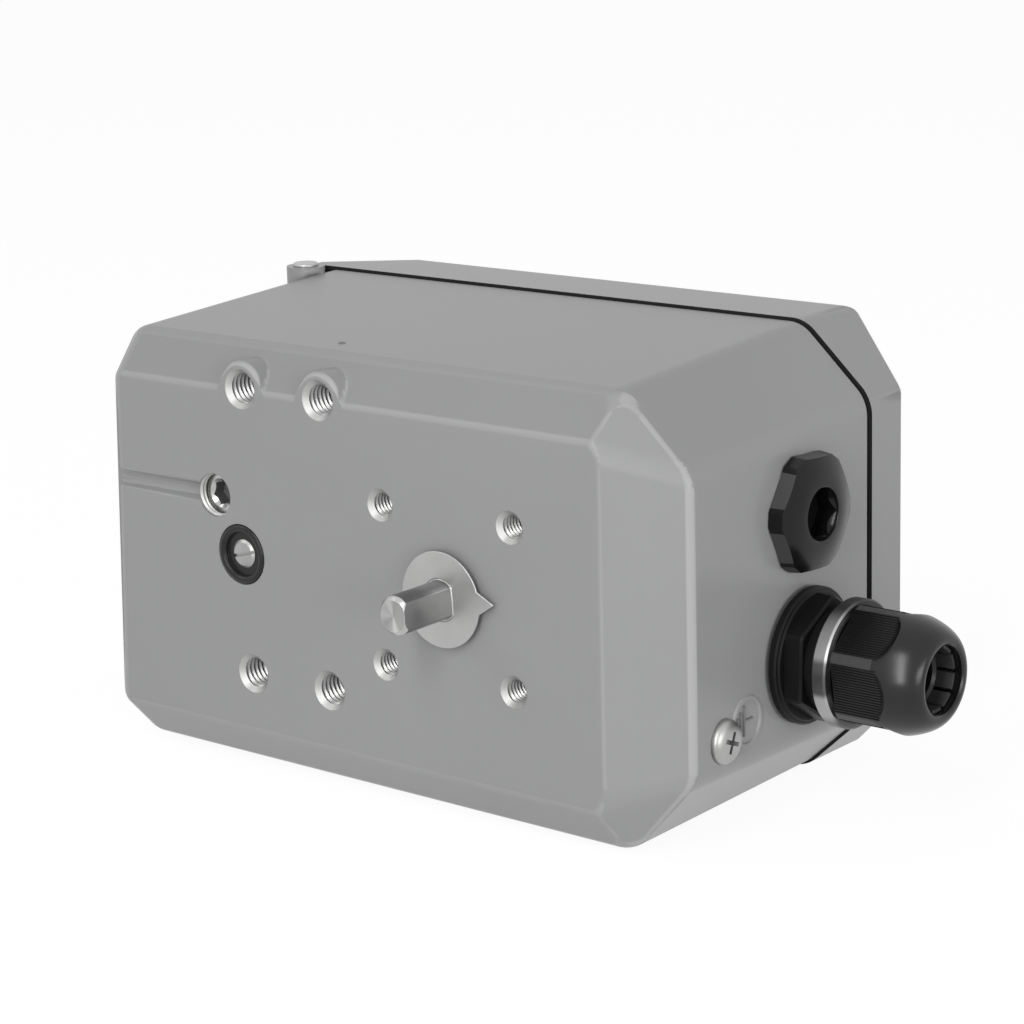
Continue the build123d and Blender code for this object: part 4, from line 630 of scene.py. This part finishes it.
def paintEdgeHighlights(form):
    # painted highlight: a share of paler paint along the middle of narrow rounded strips, most on the ridges,
    # and 0 where a wide face begins
    e = edgeHighlightShares
    highlightShare = form.verts.layers.float.new("edge")
    tone = {}
    for face in form.faces:
        around, turned = face.calc_perimeter(), face.normal
        slim = around > 0 and 2 * face.calc_area() / around < e["width"] * mm
        slim = slim and e["tilt"][0] < abs(turned.y) < e["tilt"][1]
        depths = [v.co.y for v in face.verts]
        runsDeep = max(depths) - min(depths) > e["deep"] * mm
        c = face.calc_center_median() / mm
        away = min(math.hypot(c.x - x, c.z - z) for x, z in caseShape["m8"]["at"][:2])
        if not slim or runsDeep and abs(turned.z) < abs(turned.x):
            tone[face] = 0.0
        elif runsDeep:
            tone[face] = e["ridge"]
        elif c.y < e["back"]:
            onRim = e["rim"][0] < away < e["rim"][1] and turned.z > e["rimTurn"]
            tone[face] = e["bossRim"] if onRim else e["flatRim"]
        else:
            tone[face] = e["side"] if abs(turned.x) > e["sideTurn"] else e["top"]
    for vert in form.verts:
        vert[highlightShare] = min((tone[f] for f in vert.link_faces), default=0.0)


def fullerCase(form):
    # the back's lower and left borders stand out a little more than the plain solid's
    f = fuller
    top = max(form.faces, key=lambda face: face.calc_area() if face.normal.z > 0.95 else 0)
    level = top.normal.dot(top.verts[0].co)
    low, lowSpan = f["below"]
    left, leftSpan = f["left"]
    for vert in form.verts:
        x, y, z = vert.co / mm
        if z < low:
            more, moreFrom, moreSpan = f["dropMore"]
            less, lessFrom, lessSpan = f["dropLess"]
            drop = f["drop"] + more * smooth((x - moreFrom) / moreSpan)
            drop -= less * smooth((x - lessFrom) / lessSpan)
            fade = 1 - smooth((y - f["depth"][0]) / f["depth"][1])
            vert.co.z -= drop * smooth((low - z) / lowSpan) * fade * mm
        if x < left:
            start, fromZ, span, change = f["lean"]
            lean = start - (fromZ - z) / span * change
            fade = 1 - smooth((y - f["leftDepth"][0]) / f["leftDepth"][1])
            vert.co.x += lean * smooth((left - x) / leftSpan) * fade * mm
            if z > f["leanAbove"]:
                roof = (level - top.normal.x * vert.co.x - top.normal.y * vert.co.y) / top.normal.z / mm
                fade = 1 - smooth((y - f["liftDepth"][0]) / f["liftDepth"][1])
                lift = f["lift"] * smooth((left - x) / f["liftLeft"])
                lift *= smooth((z - f["liftUp"][0]) / f["liftUp"][1]) * fade
                vert.co.z += max(0.0, min(lift, roof - f["underRoof"] - z)) * mm


def roundCutter(x, z):
    # cuts a boss rim round where it stands free above the back
    boss = caseShape["boss"]
    radius, start = boss["radius"], boss["rise"]

    def size(angle):
        return boss["least"] + boss["round"] * smooth((math.sin(angle) - start[0]) / start[1])

    rings = [(boss["front"], lambda a: radius - size(a))]
    for k in range(boss["steps"] + 1):
        turn = math.radians(90 * k / boss["steps"])
        rings.append((lambda a, c=math.cos(turn): size(a) * (1 - c),
                      lambda a, s=math.sin(turn): radius - size(a) * (1 - s)))
    rings += [(size, radius + boss["past"]), (boss["front"], radius + boss["past"])]
    return polarForm("Y", (x, z), rings, round96, closed=True)


def dressCase():
    form = mergedCopy("housing")
    near = caseShape["near"]
    for x, z in caseShape["m8"]["at"][:2]:
        form = cutBy(form, roundCutter(x, z))
    for vert in form.verts:
        if abs(vert.co.y / mm - caseShape["seam"]) < near["seam"]:
            vert.co.y += caseShape["seamIn"] * mm
    fullerCase(form)
    groove = caseShape["groove"]
    for vert in form.verts:
        c = vert.co / mm
        onFloor = groove["floor"][0] < c.y < groove["floor"][1]
        if abs(c.z - groove["z"]) < groove["half"] + near["groove"] and c.x < groove["to"] and onFloor:
            vert.co.y += groove["deeper"] * mm
    for face in form.faces:
        c = face.calc_center_median() / mm
        # painted shade: the case's rim faces in the seam are painted black
        if face.normal.y > facing and abs(c.y - caseShape["seam"] - caseShape["seamIn"]) < near["rim"]:
            face.material_index = 2
        onBack = c.y < near["back"] and abs(face.normal.y) > facing
        # painted shade: faces inside the tapped holes wear the darker thread metal
        for name in ("m6", "m8"):
            hole = caseShape[name]
            inHole = any(math.hypot(c.x - x, c.z - z) < hole["sink"] for x, z in hole["at"])
            if inHole and -near["back"] < c.y < hole["depth"] + near["holeEnd"] and not onBack:
                face.material_index = 1
    # painted highlight: paler paint along the case's rounded edges
    paintEdgeHighlights(form)
    softened("caseCasting", form, "housing", "casePaint", 0.0, ("shadedThreadMetal", "gasketBlackAndSeamShade"))
    mouth = caseShape["mouth"]
    for name in ("m6", "m8"):
        hole = caseShape[name]
        minor = hole["radius"] - hole["ridge"]
        wide = hole["sink"] - mouth["inside"]
        lead, behind = wide - minor, hole["radius"] + mouth["into"]
        places = [((x, 0, z), (0, 0, 0), (1, 1, 1)) for x, z in hole["at"]]
        rings = [(mouth["front"], wide), (lead, minor), (lead + mouth["land"], minor),
                 (lead + mouth["slope"], behind), (mouth["back"], behind)]
        cone = polarForm("Y", (0, 0), rings, evenAngles(48), closed=True)
        repeated(name + "Mouths", cone, places, "bareMetal", "housing")
        # painted shade: the thread ridges wear the darker thread metal
        ridge = threadForm(hole["radius"], hole["ridge"], hole["pitch"],
                           lead + mouth["toThread"], hole["depth"] - mouth["threadEnd"])
        repeated(name + "Threads", ridge, places, "shadedThreadMetal", "housing")


dressCase()
print("case dressed")

# marks on the case: earth sign, faint arc by the pointer, small dimple on top
caseMarks = {
    "wall": (57.5, 9.0, -0.02985),  # the right wall: x at a depth y, and its lean
    "sunk": -0.05,
    "sign": {"y": 28.2, "z": -24.4, "radius": 5.1, "line": 0.66, "high": 0.45, "rise": 0.35, "slope": 0.16,
             "bars": [(-3.75, 1.3), (-2.55, 2.25), (-1.3, 3.4)], "stem": (-1.3, 2.0),
             "ring": [(0.0, 0.6), (0.8, 0.42), (1.0, 0.2)]},  # share of its height, half its width there
    "arc": {"radius": 16.1, "from": -47, "to": 50, "width": 1.3, "crest": 0.12, "high": 0.025, "sunk": 0.03,
            "steps": 48},
    "dot": {"x": -41.7, "y": 16.4, "z": 47.6, "radius": 0.9,
            "profile": [(-0.5, 0), (-0.5, 1), (0.1, 1), (0.22, 0.7), (0.05, 0.4), (-0.1, 0)]},
}


def onWall(y, z, out):
    x0, y0, lean = caseMarks["wall"]
    return (x0 + lean * (y - y0) + out, y, z)


def barOnWall(y0, y1, z0, z1):
    # a raised bar with sloped sides
    sign = caseMarks["sign"]
    s = sign["slope"]
    points = [onWall(y, z, caseMarks["sunk"]) for y, z in ((y0, z0), (y1, z0), (y1, z1), (y0, z1))]
    points += [onWall(y, z, sign["high"])
               for y, z in ((y0 + s, z0 + s), (y1 - s, z0 + s), (y1 - s, z1 - s), (y0 + s, z1 - s))]
    return formOf(points, [(0, 1, 2, 3), (4, 5, 6, 7), (0, 1, 5, 4), (1, 2, 6, 5), (2, 3, 7, 6),
                           (3, 0, 4, 7)])


def markCase():
    sign = caseMarks["sign"]
    cy, cz, half = sign["y"], sign["z"], sign["line"] / 2
    middle = cz + sign["rise"]
    forms = [barOnWall(cy + offset - half, cy + offset + half, middle - reach, middle + reach)
             for offset, reach in sign["bars"]]
    start, end = sign["stem"]
    forms.append(barOnWall(cy + start, cy + end, middle - half, middle + half))
    # painted shade: the raised earth bars are painted darker in place of the shade of sunk bars
    softened("earthBars", joined(forms), "housing", "markShadePaint", added=True)
    crest = [(sign["high"] * share or caseMarks["sunk"], half) for share, half in sign["ring"]]
    rings = []
    for out, dr in crest + [(out, -dr) for out, dr in reversed(crest)]:
        def along(angle, out=out, dr=dr):
            return onWall(cy + (sign["radius"] + dr) * math.cos(angle), 0, out)[0]
        rings.append((along, sign["radius"] + dr))
    ring = polarForm("X", (cy, cz), rings, round96, closed=True)
    softened("earthRing", ring, "housing", "casePaint", added=True)

    dot = caseMarks["dot"]
    rings = [(dot["z"] + dz, dot["radius"] * share) for dz, share in dot["profile"]]
    dimple = polarForm("Z", (dot["x"], dot["y"]), rings, evenAngles(24))
    # the top dot wears the same darker paint
    softened("topDot", dimple, "housing", "markShadePaint", added=True)

    arc = caseMarks["arc"]
    sections = []
    for i in range(arc["steps"] + 1):
        angle = math.radians(arc["from"] + (arc["to"] - arc["from"]) * i / arc["steps"])
        section = []
        for dr, y in ((-arc["width"] / 2, arc["sunk"]), (-arc["crest"], -arc["high"]),
                      (arc["crest"], -arc["high"]), (arc["width"] / 2, arc["sunk"])):
            r = arc["radius"] + dr
            section.append((r * math.cos(angle), y, r * math.sin(angle)))
        sections.append(section)
    softened("pointerArc", stripForm(sections), "housing", "casePaint", added=True)


markCase()
print("case marked")

# feedback shaft, and the pointer disc with the bright rim round its hole
shaftShape = {"radius": 4.25, "flat": 3.15, "turn": 4.0, "tip": -17.0, "chamfer": 0.8, "rootEnd": -0.3,
              "tipNear": 0.1, "flatNear": 0.04, "flatArea": 2.0, "slanted": 0.2, "level": 0.1,
              "bevel": 0.2, "discFront": -2.0, "discBack": -1.5, "discBevel": 0.14,
              "rim": [(0.1, 0.42), (-0.1, 0.3), (-0.16, 0.18), (-0.12, -0.05), (0.1, -0.05)]}


def dressShaft():
    s = shaftShape
    turn = math.radians(s["turn"])
    form = mergedCopy("sensor_shaft")
    # lit and shaded copies of one steel: the round is painted dark as a painted reflection, the flats mid,
    # the chamfers and turned end lighter
    for face in form.faces:
        c = face.calc_center_median() / mm
        if face.normal.y < -facing and c.y < s["tip"] + s["tipNear"]:
            face.material_index = 3
        elif c.y < s["tip"] + s["chamfer"] and abs(face.normal.y) > s["slanted"]:
            face.material_index = 0
        elif s["tip"] < c.y < s["rootEnd"] and abs(face.normal.y) < s["level"]:
            across = abs(c.x * math.cos(turn) + c.z * math.sin(turn))
            isFlat = abs(across - s["flat"]) < s["flatNear"] and face.calc_area() > s["flatArea"] * mm ** 2
            face.material_index = 2 if isFlat else 1
    softened("feedbackShaft", form, "sensor_shaft", "brightSteel", s["bevel"] * mm,
             ("paintedReflectionSteel", "flatSteel", "turnedSteel"))
    disc = mergedCopy("pointer_disc")
    for vert in disc.verts:
        if vert.co.y > s["discBack"] * mm:
            vert.co.y = s["discBack"] * mm
    softened("pointerDisc", disc, "pointer_disc", "satinSteel", s["discBevel"] * mm)

    def profile(extra):
        def radius(angle):
            side = abs(math.cos(angle - turn))
            return min(s["radius"], s["flat"] / max(side, 0.01)) + extra
        return radius

    rings = [(s["discFront"] + dy, profile(extra)) for dy, extra in s["rim"]]
    rim = polarForm("Y", (0, 0), rings, round96, closed=True)
    softened("discHub", rim, "sensor_shaft", "brightSteel", added=True)


dressShaft()

# blanking plug, recessed under two turns of its thread
plugShape = {"x": -67.0, "z": 13.4, "radius": 4.85, "edge": 0.4, "recess": 2.3, "faceEdge": (0.45, 0.5),
             "end": 7.8, "socket": 2.5, "corner": 1.2, "mouth": 3.35, "slope": 0.9, "deep": 3.5, "point": 0.9,
             "paintedShadeReach": (1.13, 0.5), "turn": 15.0,
             "thread": {"radius": 4.88, "depth": 0.42, "pitch": 0.9, "from": 0.55, "to": 2.35}}


def dressPlug():
    s = plugShape
    socket = hexRadius(s["socket"], s["socket"] * s["corner"], s["turn"])
    face, end, floor = s["recess"], s["end"], s["recess"] + s["deep"]
    rings = [
        (end, 0), (end, s["radius"] - s["edge"]), (end - s["edge"], s["radius"]),
        (face + s["faceEdge"][0], s["radius"]), (face, s["radius"] - s["faceEdge"][1]), (face, s["mouth"]),
        (lambda a: face + (s["mouth"] - socket(a)) * s["slope"], socket),
        (floor, socket), (floor + s["point"], 0),
    ]
    corners = [s["turn"] + 60 * k for k in range(6)]
    form = polarForm("Y", (s["x"], s["z"]), rings, evenAngles(96, corners))
    # painted shade: the socket's inner walls are painted dark
    reach, inset = s["paintedShadeReach"]
    for each in form.faces:
        c = each.calc_center_median() / mm
        away = math.hypot(c.x - s["x"], c.z - s["z"])
        if away < s["socket"] * reach and face + inset < c.y < end - inset:
            each.material_index = 1
    softened("socketPlug", form, "blanking_plug", "brightSteel", 0.0, ("paintedShadeSteel",))
    thread = s["thread"]
    ridge = threadForm(thread["radius"], thread["depth"], thread["pitch"], thread["from"], thread["to"], 64)
    repeated("plugThreads", ridge, [((s["x"], 0, s["z"]), (0, 0, 0), (1, 1, 1))], "bareMetal", "housing")


dressPlug()

# air port: rubber ring with a flat inside, slotted screw
portShape = {"x": -59.4, "z": 0.8, "ring": 5.9, "section": 1.0, "proud": 0.4, "arc": (-8, 188),
             "arcSteps": 16, "lip": 0.25, "lap": 0.05, "play": 0.06, "screw": 3.25, "sink": 0.4,
             "long": 6.0, "chamfer": (0.4, 0.6), "slot": 0.7, "slotDeep": 0.9, "slotReach": 4,
             "slotOver": 1, "turn": -15.0}


def dressPort():
    s = portShape
    centre = (s["x"], s["z"])
    mid = s["section"] - s["proud"]
    low, bore = mid + s["section"], s["screw"] + s["play"]
    rings = []
    start, end = s["arc"]
    for k in range(s["arcSteps"] + 1):
        angle = math.radians(start + (end - start) * k / s["arcSteps"])
        rings.append((mid - s["section"] * math.sin(angle), s["ring"] + s["section"] * math.cos(angle)))
    rings += [(mid + s["lip"], s["ring"] - s["section"] - s["lap"]), (mid + s["lip"], bore), (low, bore),
              (low, s["ring"] + s["section"])]
    form = polarForm("Y", centre, rings, round96, closed=True)
    softened("portRing", form, "air_port_seal", "blackRubber")

    top, end = s["sink"], s["sink"] + s["long"]
    down, inwards = s["chamfer"]
    disc = polarForm("Y", centre, [(end, 0), (end, s["screw"]), (top + down, s["screw"]),
                                   (top, s["screw"] - inwards), (top, 0)], round64)
    half, reach = s["slot"] / 2, s["slotReach"]
    tool = blockForm((-reach, top - s["slotOver"], -half), (reach, top + s["slotDeep"], half))
    turn = Matrix.Rotation(math.radians(s["turn"]), 4, "Y")
    place = Matrix.Translation(Vector((s["x"], 0, s["z"])) * mm) @ turn
    bmesh.ops.transform(tool, matrix=place, verts=tool.verts)
    form = cutBy(disc, tool)
    for face in form.faces:
        if abs(face.normal.y) > facing and face.calc_center_median().y < (top + down) * mm:
            face.material_index = 1
    softened("slottedScrew", form, "slotted_screw", "zincSteel", 0.0, ("flatSteel",))


dressPort()
print("back pieces dressed")

# blind plug of the upper entry: hexagon with cut corners, domed face, hexagon socket
blindShape = {"y": 50.0, "z": 16.0, "wall": 56.676, "seal": 0.6, "sealRadius": (10.0, 11.95), "start": 48.176,
              "shank": 9.95, "seat": 12.06, "skirt": 56.76, "skirtEdge": (0.12, 0.02, 0.1), "flat": 12.25,
              "corner": 13.2, "turn": -3.5, "draft": 0.3, "side": 3.3, "high": 5.0, "domeRadius": 13.34,
              "domeCurve": 1.7, "domeSteps": 10, "mouth": 5.8,
              "lip": [(0.02, 0.1), (0.12, -0.05), (0.5, -0.08)],
              "socket": 5.0, "socketCorner": 1.2, "slope": 1.6, "deep": 5.0, "point": 0.6,
              "paintedLitSides": (0.2, 2, 0.6)}  # its six sides, painted lighter than the face as painted light: how level, how far past the mouth and past the flat


def dressBlindPlug():
    s = blindShape
    outer = hexRadius(s["flat"], s["corner"], s["turn"])
    socket = hexRadius(s["socket"], s["socket"] * s["socketCorner"], s["turn"])
    edge, top, back = s["wall"] + s["side"], s["wall"] + s["high"], s["wall"] + s["seal"]
    mouth, skirt = s["mouth"], s["skirt"]
    edgeOut, edgeIn, edgeWide = s["skirtEdge"]

    def domeX(r):
        t = min(1.0, max(0.0, (r - mouth) / (s["domeRadius"] - mouth)))
        return top - (top - edge) * t ** s["domeCurve"]

    rings = [
        (s["start"], 0), (s["start"], s["shank"]), (back, s["shank"]), (back, s["seat"]), (skirt, s["seat"]),
        (skirt, lambda a: outer(a) - edgeIn), (skirt + edgeOut, lambda a: outer(a) + edgeWide),
        (lambda a: domeX(outer(a)), lambda a: outer(a) - s["draft"]),
    ]
    inside = mouth + s["lip"][0][1]
    for k in range(1, s["domeSteps"]):
        share = k / s["domeSteps"]
        def radius(a, share=share):
            return outer(a) - s["draft"] + (inside + s["draft"] - outer(a)) * share
        def along(a, share=share):
            return domeX(outer(a) + (inside - outer(a)) * share)
        rings.append((along, radius))
    rings += [(top - down, mouth + more) for down, more in s["lip"]]
    start, lip = rings[-1]
    rings += [(lambda a: start - (lip - socket(a)) * s["slope"], socket),
              (top - s["deep"], socket), (top - s["deep"] - s["point"], 0)]
    extra = cutAngles(s["flat"], s["corner"], s["turn"]) + [s["turn"] + 60 * k for k in range(6)]
    form = polarForm("X", (s["y"], s["z"]), rings, evenAngles(120, extra))
    level, pastMouth, pastFlat = s["paintedLitSides"]
    # painted light: the six sides wear the paler plastic, lighter than the face
    for face in form.faces:
        c = face.calc_center_median() / mm
        away = math.hypot(c.y - s["y"], c.z - s["z"])
        if abs(face.normal.x) < level and c.x > skirt and mouth + pastMouth < away < s["flat"] + pastFlat:
            face.material_index = 1
    softened("entryPlug", form, "blind_plug", "blackPlastic", 0.0, ("darkPlasticAndHighlight",))
    inner, rim = s["sealRadius"]
    rings = [(s["wall"], inner), (s["wall"], rim), (back, rim), (back, inner)]
    ring = polarForm("X", (s["y"], s["z"]), rings, round96, closed=True)
    softened("entryPlugSeal", ring, "blind_plug_seal", "blackRubber")


dressBlindPlug()

# cable gland: flange, hexagon, neck, bright ring, ribbed nut with a domed end
glandShape = {
    "y": 50.0, "z": -15.2,
    "body": {"start": 48.176, "shank": 9.95, "seat": 57.476, "flange": 59.876, "flangeRadius": 14.9,
             "step": [(0.9, 0), (0.5, 0.35), (0.42, 0.8), (0, 1.1)],  # behind its face, inside its edge
             "edge": 0.3, "flat": 12.2, "corner": 13.85, "turn": 28.0, "hexEnd": 64.076, "hexEdge": 0.5,
             "neck": 11.2, "neckEnd": 67.476, "stub": 8.9, "stubEnd": 75.876, "bore": 6.55},
    "nut": {"start": 70.876, "hexStart": 71.376, "end": 91.376, "flat": 12.02, "corner": 13.38, "turn": 39.0,
            "edge": 0.3, "skirt": 12.5, "bore": 8.95, "cone": 83.876, "hexEnd": 81.3, "bulge": 2.0,
            "bulgeHalf": 27, "runOut": 1.5, "domeAt": 80.9, "domeEnd": 8.3, "domeSteps": 40, "mouth": 7.3,
            "domeCurve": (1.4, 0.5), "domeSpread": 1.5,
            "lip": [(0, 0.9), (0.1, 0.45), (0.45, 0.08), (1.4, 0)], "highlightHalf": 6, "highlightFrom": 12.5},
    "ribs": {"pitch": 0.6, "high": 0.2, "count": 19, "share": 0.42, "crest": 0.35, "sunk": -0.05, "gap": 0.35,
             "past": 0.2},
    "fingerBevel": 0.12,
}


def flatEnd(angle):
    # the ribbed flats run out later in their middle than at the corners
    nut = glandShape["nut"]
    off = abs((math.degrees(angle) - nut["turn"]) % 60 - 30)
    return nut["hexEnd"] + nut["bulge"] * max(0.0, 1 - (off / nut["bulgeHalf"]) ** 2)


def nutRadius(x, angle, hexNut):
    # a round dome with flats sunk into it
    nut = glandShape["nut"]
    share = min(1.0, max(0.0, (x - nut["domeAt"]) / (nut["end"] - nut["domeAt"])))
    along, across = nut["domeCurve"]
    dome = nut["domeEnd"] + (nut["corner"] - nut["domeEnd"]) * (1 - share ** along) ** across
    prism = min(hexNut(angle), dome)
    return prism + (dome - prism) * smooth((x - flatEnd(angle)) / nut["runOut"])


def dressGlandBody(centre):
    b = glandShape["body"]
    hexagon = hexRadius(b["flat"], b["corner"], b["turn"])
    rings = [(b["start"], b["bore"]), (b["start"], b["shank"]), (b["seat"], b["shank"]),
             (b["seat"], b["flangeRadius"] - b["edge"]), (b["seat"] + b["edge"], b["flangeRadius"])]
    rings += [(b["flange"] - back, b["flangeRadius"] - inside) for back, inside in b["step"]]
    rings += [
        (b["flange"], hexagon), (b["hexEnd"] - b["hexEdge"], hexagon),
        (b["hexEnd"], lambda a: hexagon(a) - b["hexEdge"]), (b["hexEnd"], b["neck"]),
        (b["neckEnd"], b["neck"]), (b["neckEnd"], b["stub"]),
        (b["stubEnd"], b["stub"]), (b["stubEnd"], b["bore"]),
    ]
    angles = evenAngles(120, cutAngles(b["flat"], b["corner"], b["turn"]))
    form = polarForm("X", centre, rings, angles, closed=True)
    softened("glandBody", form, "gland_body", "mattBlack")


def dressGlandNut(centre):
    n = glandShape["nut"]
    hexagon = hexRadius(n["flat"], n["corner"], n["turn"])
    rings = [
        (n["start"], n["bore"]), (n["start"], n["skirt"]), (n["hexStart"], n["skirt"]),
        (n["hexStart"], lambda a: hexagon(a) - n["edge"]), (n["hexStart"] + n["edge"], hexagon),
        (n["domeAt"], hexagon),
    ]
    for k in range(1, n["domeSteps"] + 1):
        x = n["domeAt"] + (n["end"] - n["domeAt"]) * (1 - (1 - k / n["domeSteps"]) ** n["domeSpread"])
        rings.append((x, lambda a, x=x: nutRadius(x, a, hexagon)))
    rings += [(n["end"] - back, n["mouth"] + more) for back, more in n["lip"]] + [(n["cone"], n["bore"])]
    angles = evenAngles(120, cutAngles(n["flat"], n["corner"], n["turn"]))
    form = polarForm("X", centre, rings, angles, closed=True)
    # painted highlight: the nut's corner strips on the hexagon wear the paler plastic
    for face in form.faces:
        c = face.calc_center_median() / mm
        u, v = c.y - centre[0], c.z - centre[1]
        fromCorner = abs((math.degrees(math.atan2(v, u)) - n["turn"] + 30) % 60 - 30)
        onHexagon = n["hexStart"] < c.x < n["hexEnd"] and math.hypot(v, u) > n["highlightFrom"]
        if fromCorner < n["highlightHalf"] and onHexagon:
            face.material_index = 1
    softened("glandNut", form, "gland_nut", "glossBlack", 0.0, ("darkPlasticAndHighlight",))


def dressGlandRibs(centre):
    n, r = glandShape["nut"], glandShape["ribs"]
    half, sunk = r["pitch"] * r["share"], r["sunk"]
    section = ((-half, sunk), (-half * r["crest"], r["high"]), (half * r["crest"], r["high"]), (half, sunk))
    rib = stripForm([[(x, u, v) for u, v in section] for x in (0, 1)])
    bmesh.ops.scale(rib, vec=(1 / mm, 1, 1), verts=rib.verts)
    places = []
    for side in range(6):
        normal = n["turn"] + 30 + 60 * side
        for k in range(r["count"]):
            offset = (k - (r["count"] - 1) / 2) * r["pitch"]
            swing = math.atan2(offset, n["flat"])
            angle, away = math.radians(normal) - swing, math.hypot(offset, n["flat"])
            length = flatEnd(math.radians(normal) + swing) + r["past"] - n["hexStart"]
            u, v = away * math.cos(angle), away * math.sin(angle)
            spot = (n["hexStart"] + r["gap"], centre[0] + u, centre[1] + v)
            places.append((spot, (normal - 90, 0, 0), (length * mm, 1, 1)))
    repeated("glandRibs", rib, places, "blackPlastic", "gland_nut")


def dressGland():
    centre = (glandShape["y"], glandShape["z"])
    dressGlandBody(centre)
    dressGlandNut(centre)
    dressGlandRibs(centre)
    softened("glandRing", mergedCopy("gland_ring"), "gland_ring", "nickelRing")
    softened("glandFingers", mergedCopy("gland_clamp"), "gland_clamp", "darkPlasticAndHighlight",
             glandShape["fingerBevel"] * mm)


dressGland()
print("entries dressed")

# earth screw with its cross recess
earthShape = {"x": 56.987, "y": 19.5, "z": -26.3, "radius": 4.75, "edge": 0.15, "rim": 0.75, "high": 2.5,
              "shank": 2.5, "length": 7.0, "domeSteps": 8, "domeShares": (0.32, 0.68), "domeCurve": 0.8,
              "turn": -22.0, "arm": (1.7, 1.2, 0.5, 3.0), "armTaper": (0.8, 0.5), "recess": (0.9, 2.3, 0.8)}


def dressEarthScrew():
    s = earthShape
    base, rim = s["x"], s["rim"]
    rings = [(base - s["length"], 0), (base - s["length"], s["shank"]), (base, s["shank"]),
             (base, s["radius"] - s["edge"]), (base + s["edge"], s["radius"]), (base + rim, s["radius"])]
    middle, outside = s["domeShares"]
    for k in range(1, s["domeSteps"]):
        angle = math.radians(90 * k / s["domeSteps"])
        share = middle + outside * math.cos(angle) ** s["domeCurve"]
        rings.append((base + rim + (s["high"] - rim) * math.sin(angle), s["radius"] * share))
    rings.append((base + s["high"], 0))
    form = polarForm("X", (s["y"], s["z"]), rings, round96)
    deep, above, half, reach = s["arm"]
    for quarter in (0, 90):
        arm = blockForm((-deep, -half, -reach), (above, half, reach))
        for vert in arm.verts:
            if vert.co.x < 0:
                vert.co.y *= s["armTaper"][0]
                vert.co.z *= s["armTaper"][1]
        turn = Matrix.Rotation(math.radians(s["turn"] + quarter), 4, "X")
        place = Matrix.Translation(Vector((base + s["high"], s["y"], s["z"])) * mm) @ turn
        bmesh.ops.transform(arm, matrix=place, verts=arm.verts)
        form = cutBy(form, arm)
    above, within, steep = s["recess"]
    # painted shade: the cross recess's flanks are painted dark
    for face in form.faces:
        c = face.calc_center_median() / mm
        away = math.hypot(c.y - s["y"], c.z - s["z"])
        if c.x > base + above and abs(face.normal.x) < steep and away < within:
            face.material_index = 1
    softened("earthScrew", form, "earth_screw", "zincSteel", 0.0, ("paintedShadeSteel",))


dressEarthScrew()

# the cover, and pieces that keep the solid's shape: node, finish, rounding of the edges
outerShape = {
    "coverRim": 77.6, "rimNear": 0.3,
    "kept": {
        "hingeSpindle": ("hinge_pin", "satinSteel", 0.1), "glandSleeve": ("gland_insert", "blackRubber", 0.0),
        "sideVent": ("vent_plug", "blackPlastic", 0.15), "seamSeal": ("cover_gasket", "gasketBlackAndSeamShade", 0.0),
        "coverScrewHeads": ("cover_screws", "zincSteel", 0.1),
    },
}


def dressOutside():
    form = mergedCopy("cover")
    for face in form.faces:
        depth = face.calc_center_median().y / mm
        # painted shade: the cover's rim faces in the seam are painted black
        if face.normal.y < -facing and abs(depth - outerShape["coverRim"]) < outerShape["rimNear"]:
            face.material_index = 1
    # painted highlight: paler paint along the cover's rounded edges
    paintEdgeHighlights(form)
    softened("caseCover", form, "cover", "casePaint", 0.0, ("gasketBlackAndSeamShade",))
    for name, (node, finish, bevel) in outerShape["kept"].items():
        softened(name, mergedCopy(node), node, finish, bevel * mm)


dressOutside()
print("outer pieces dressed")
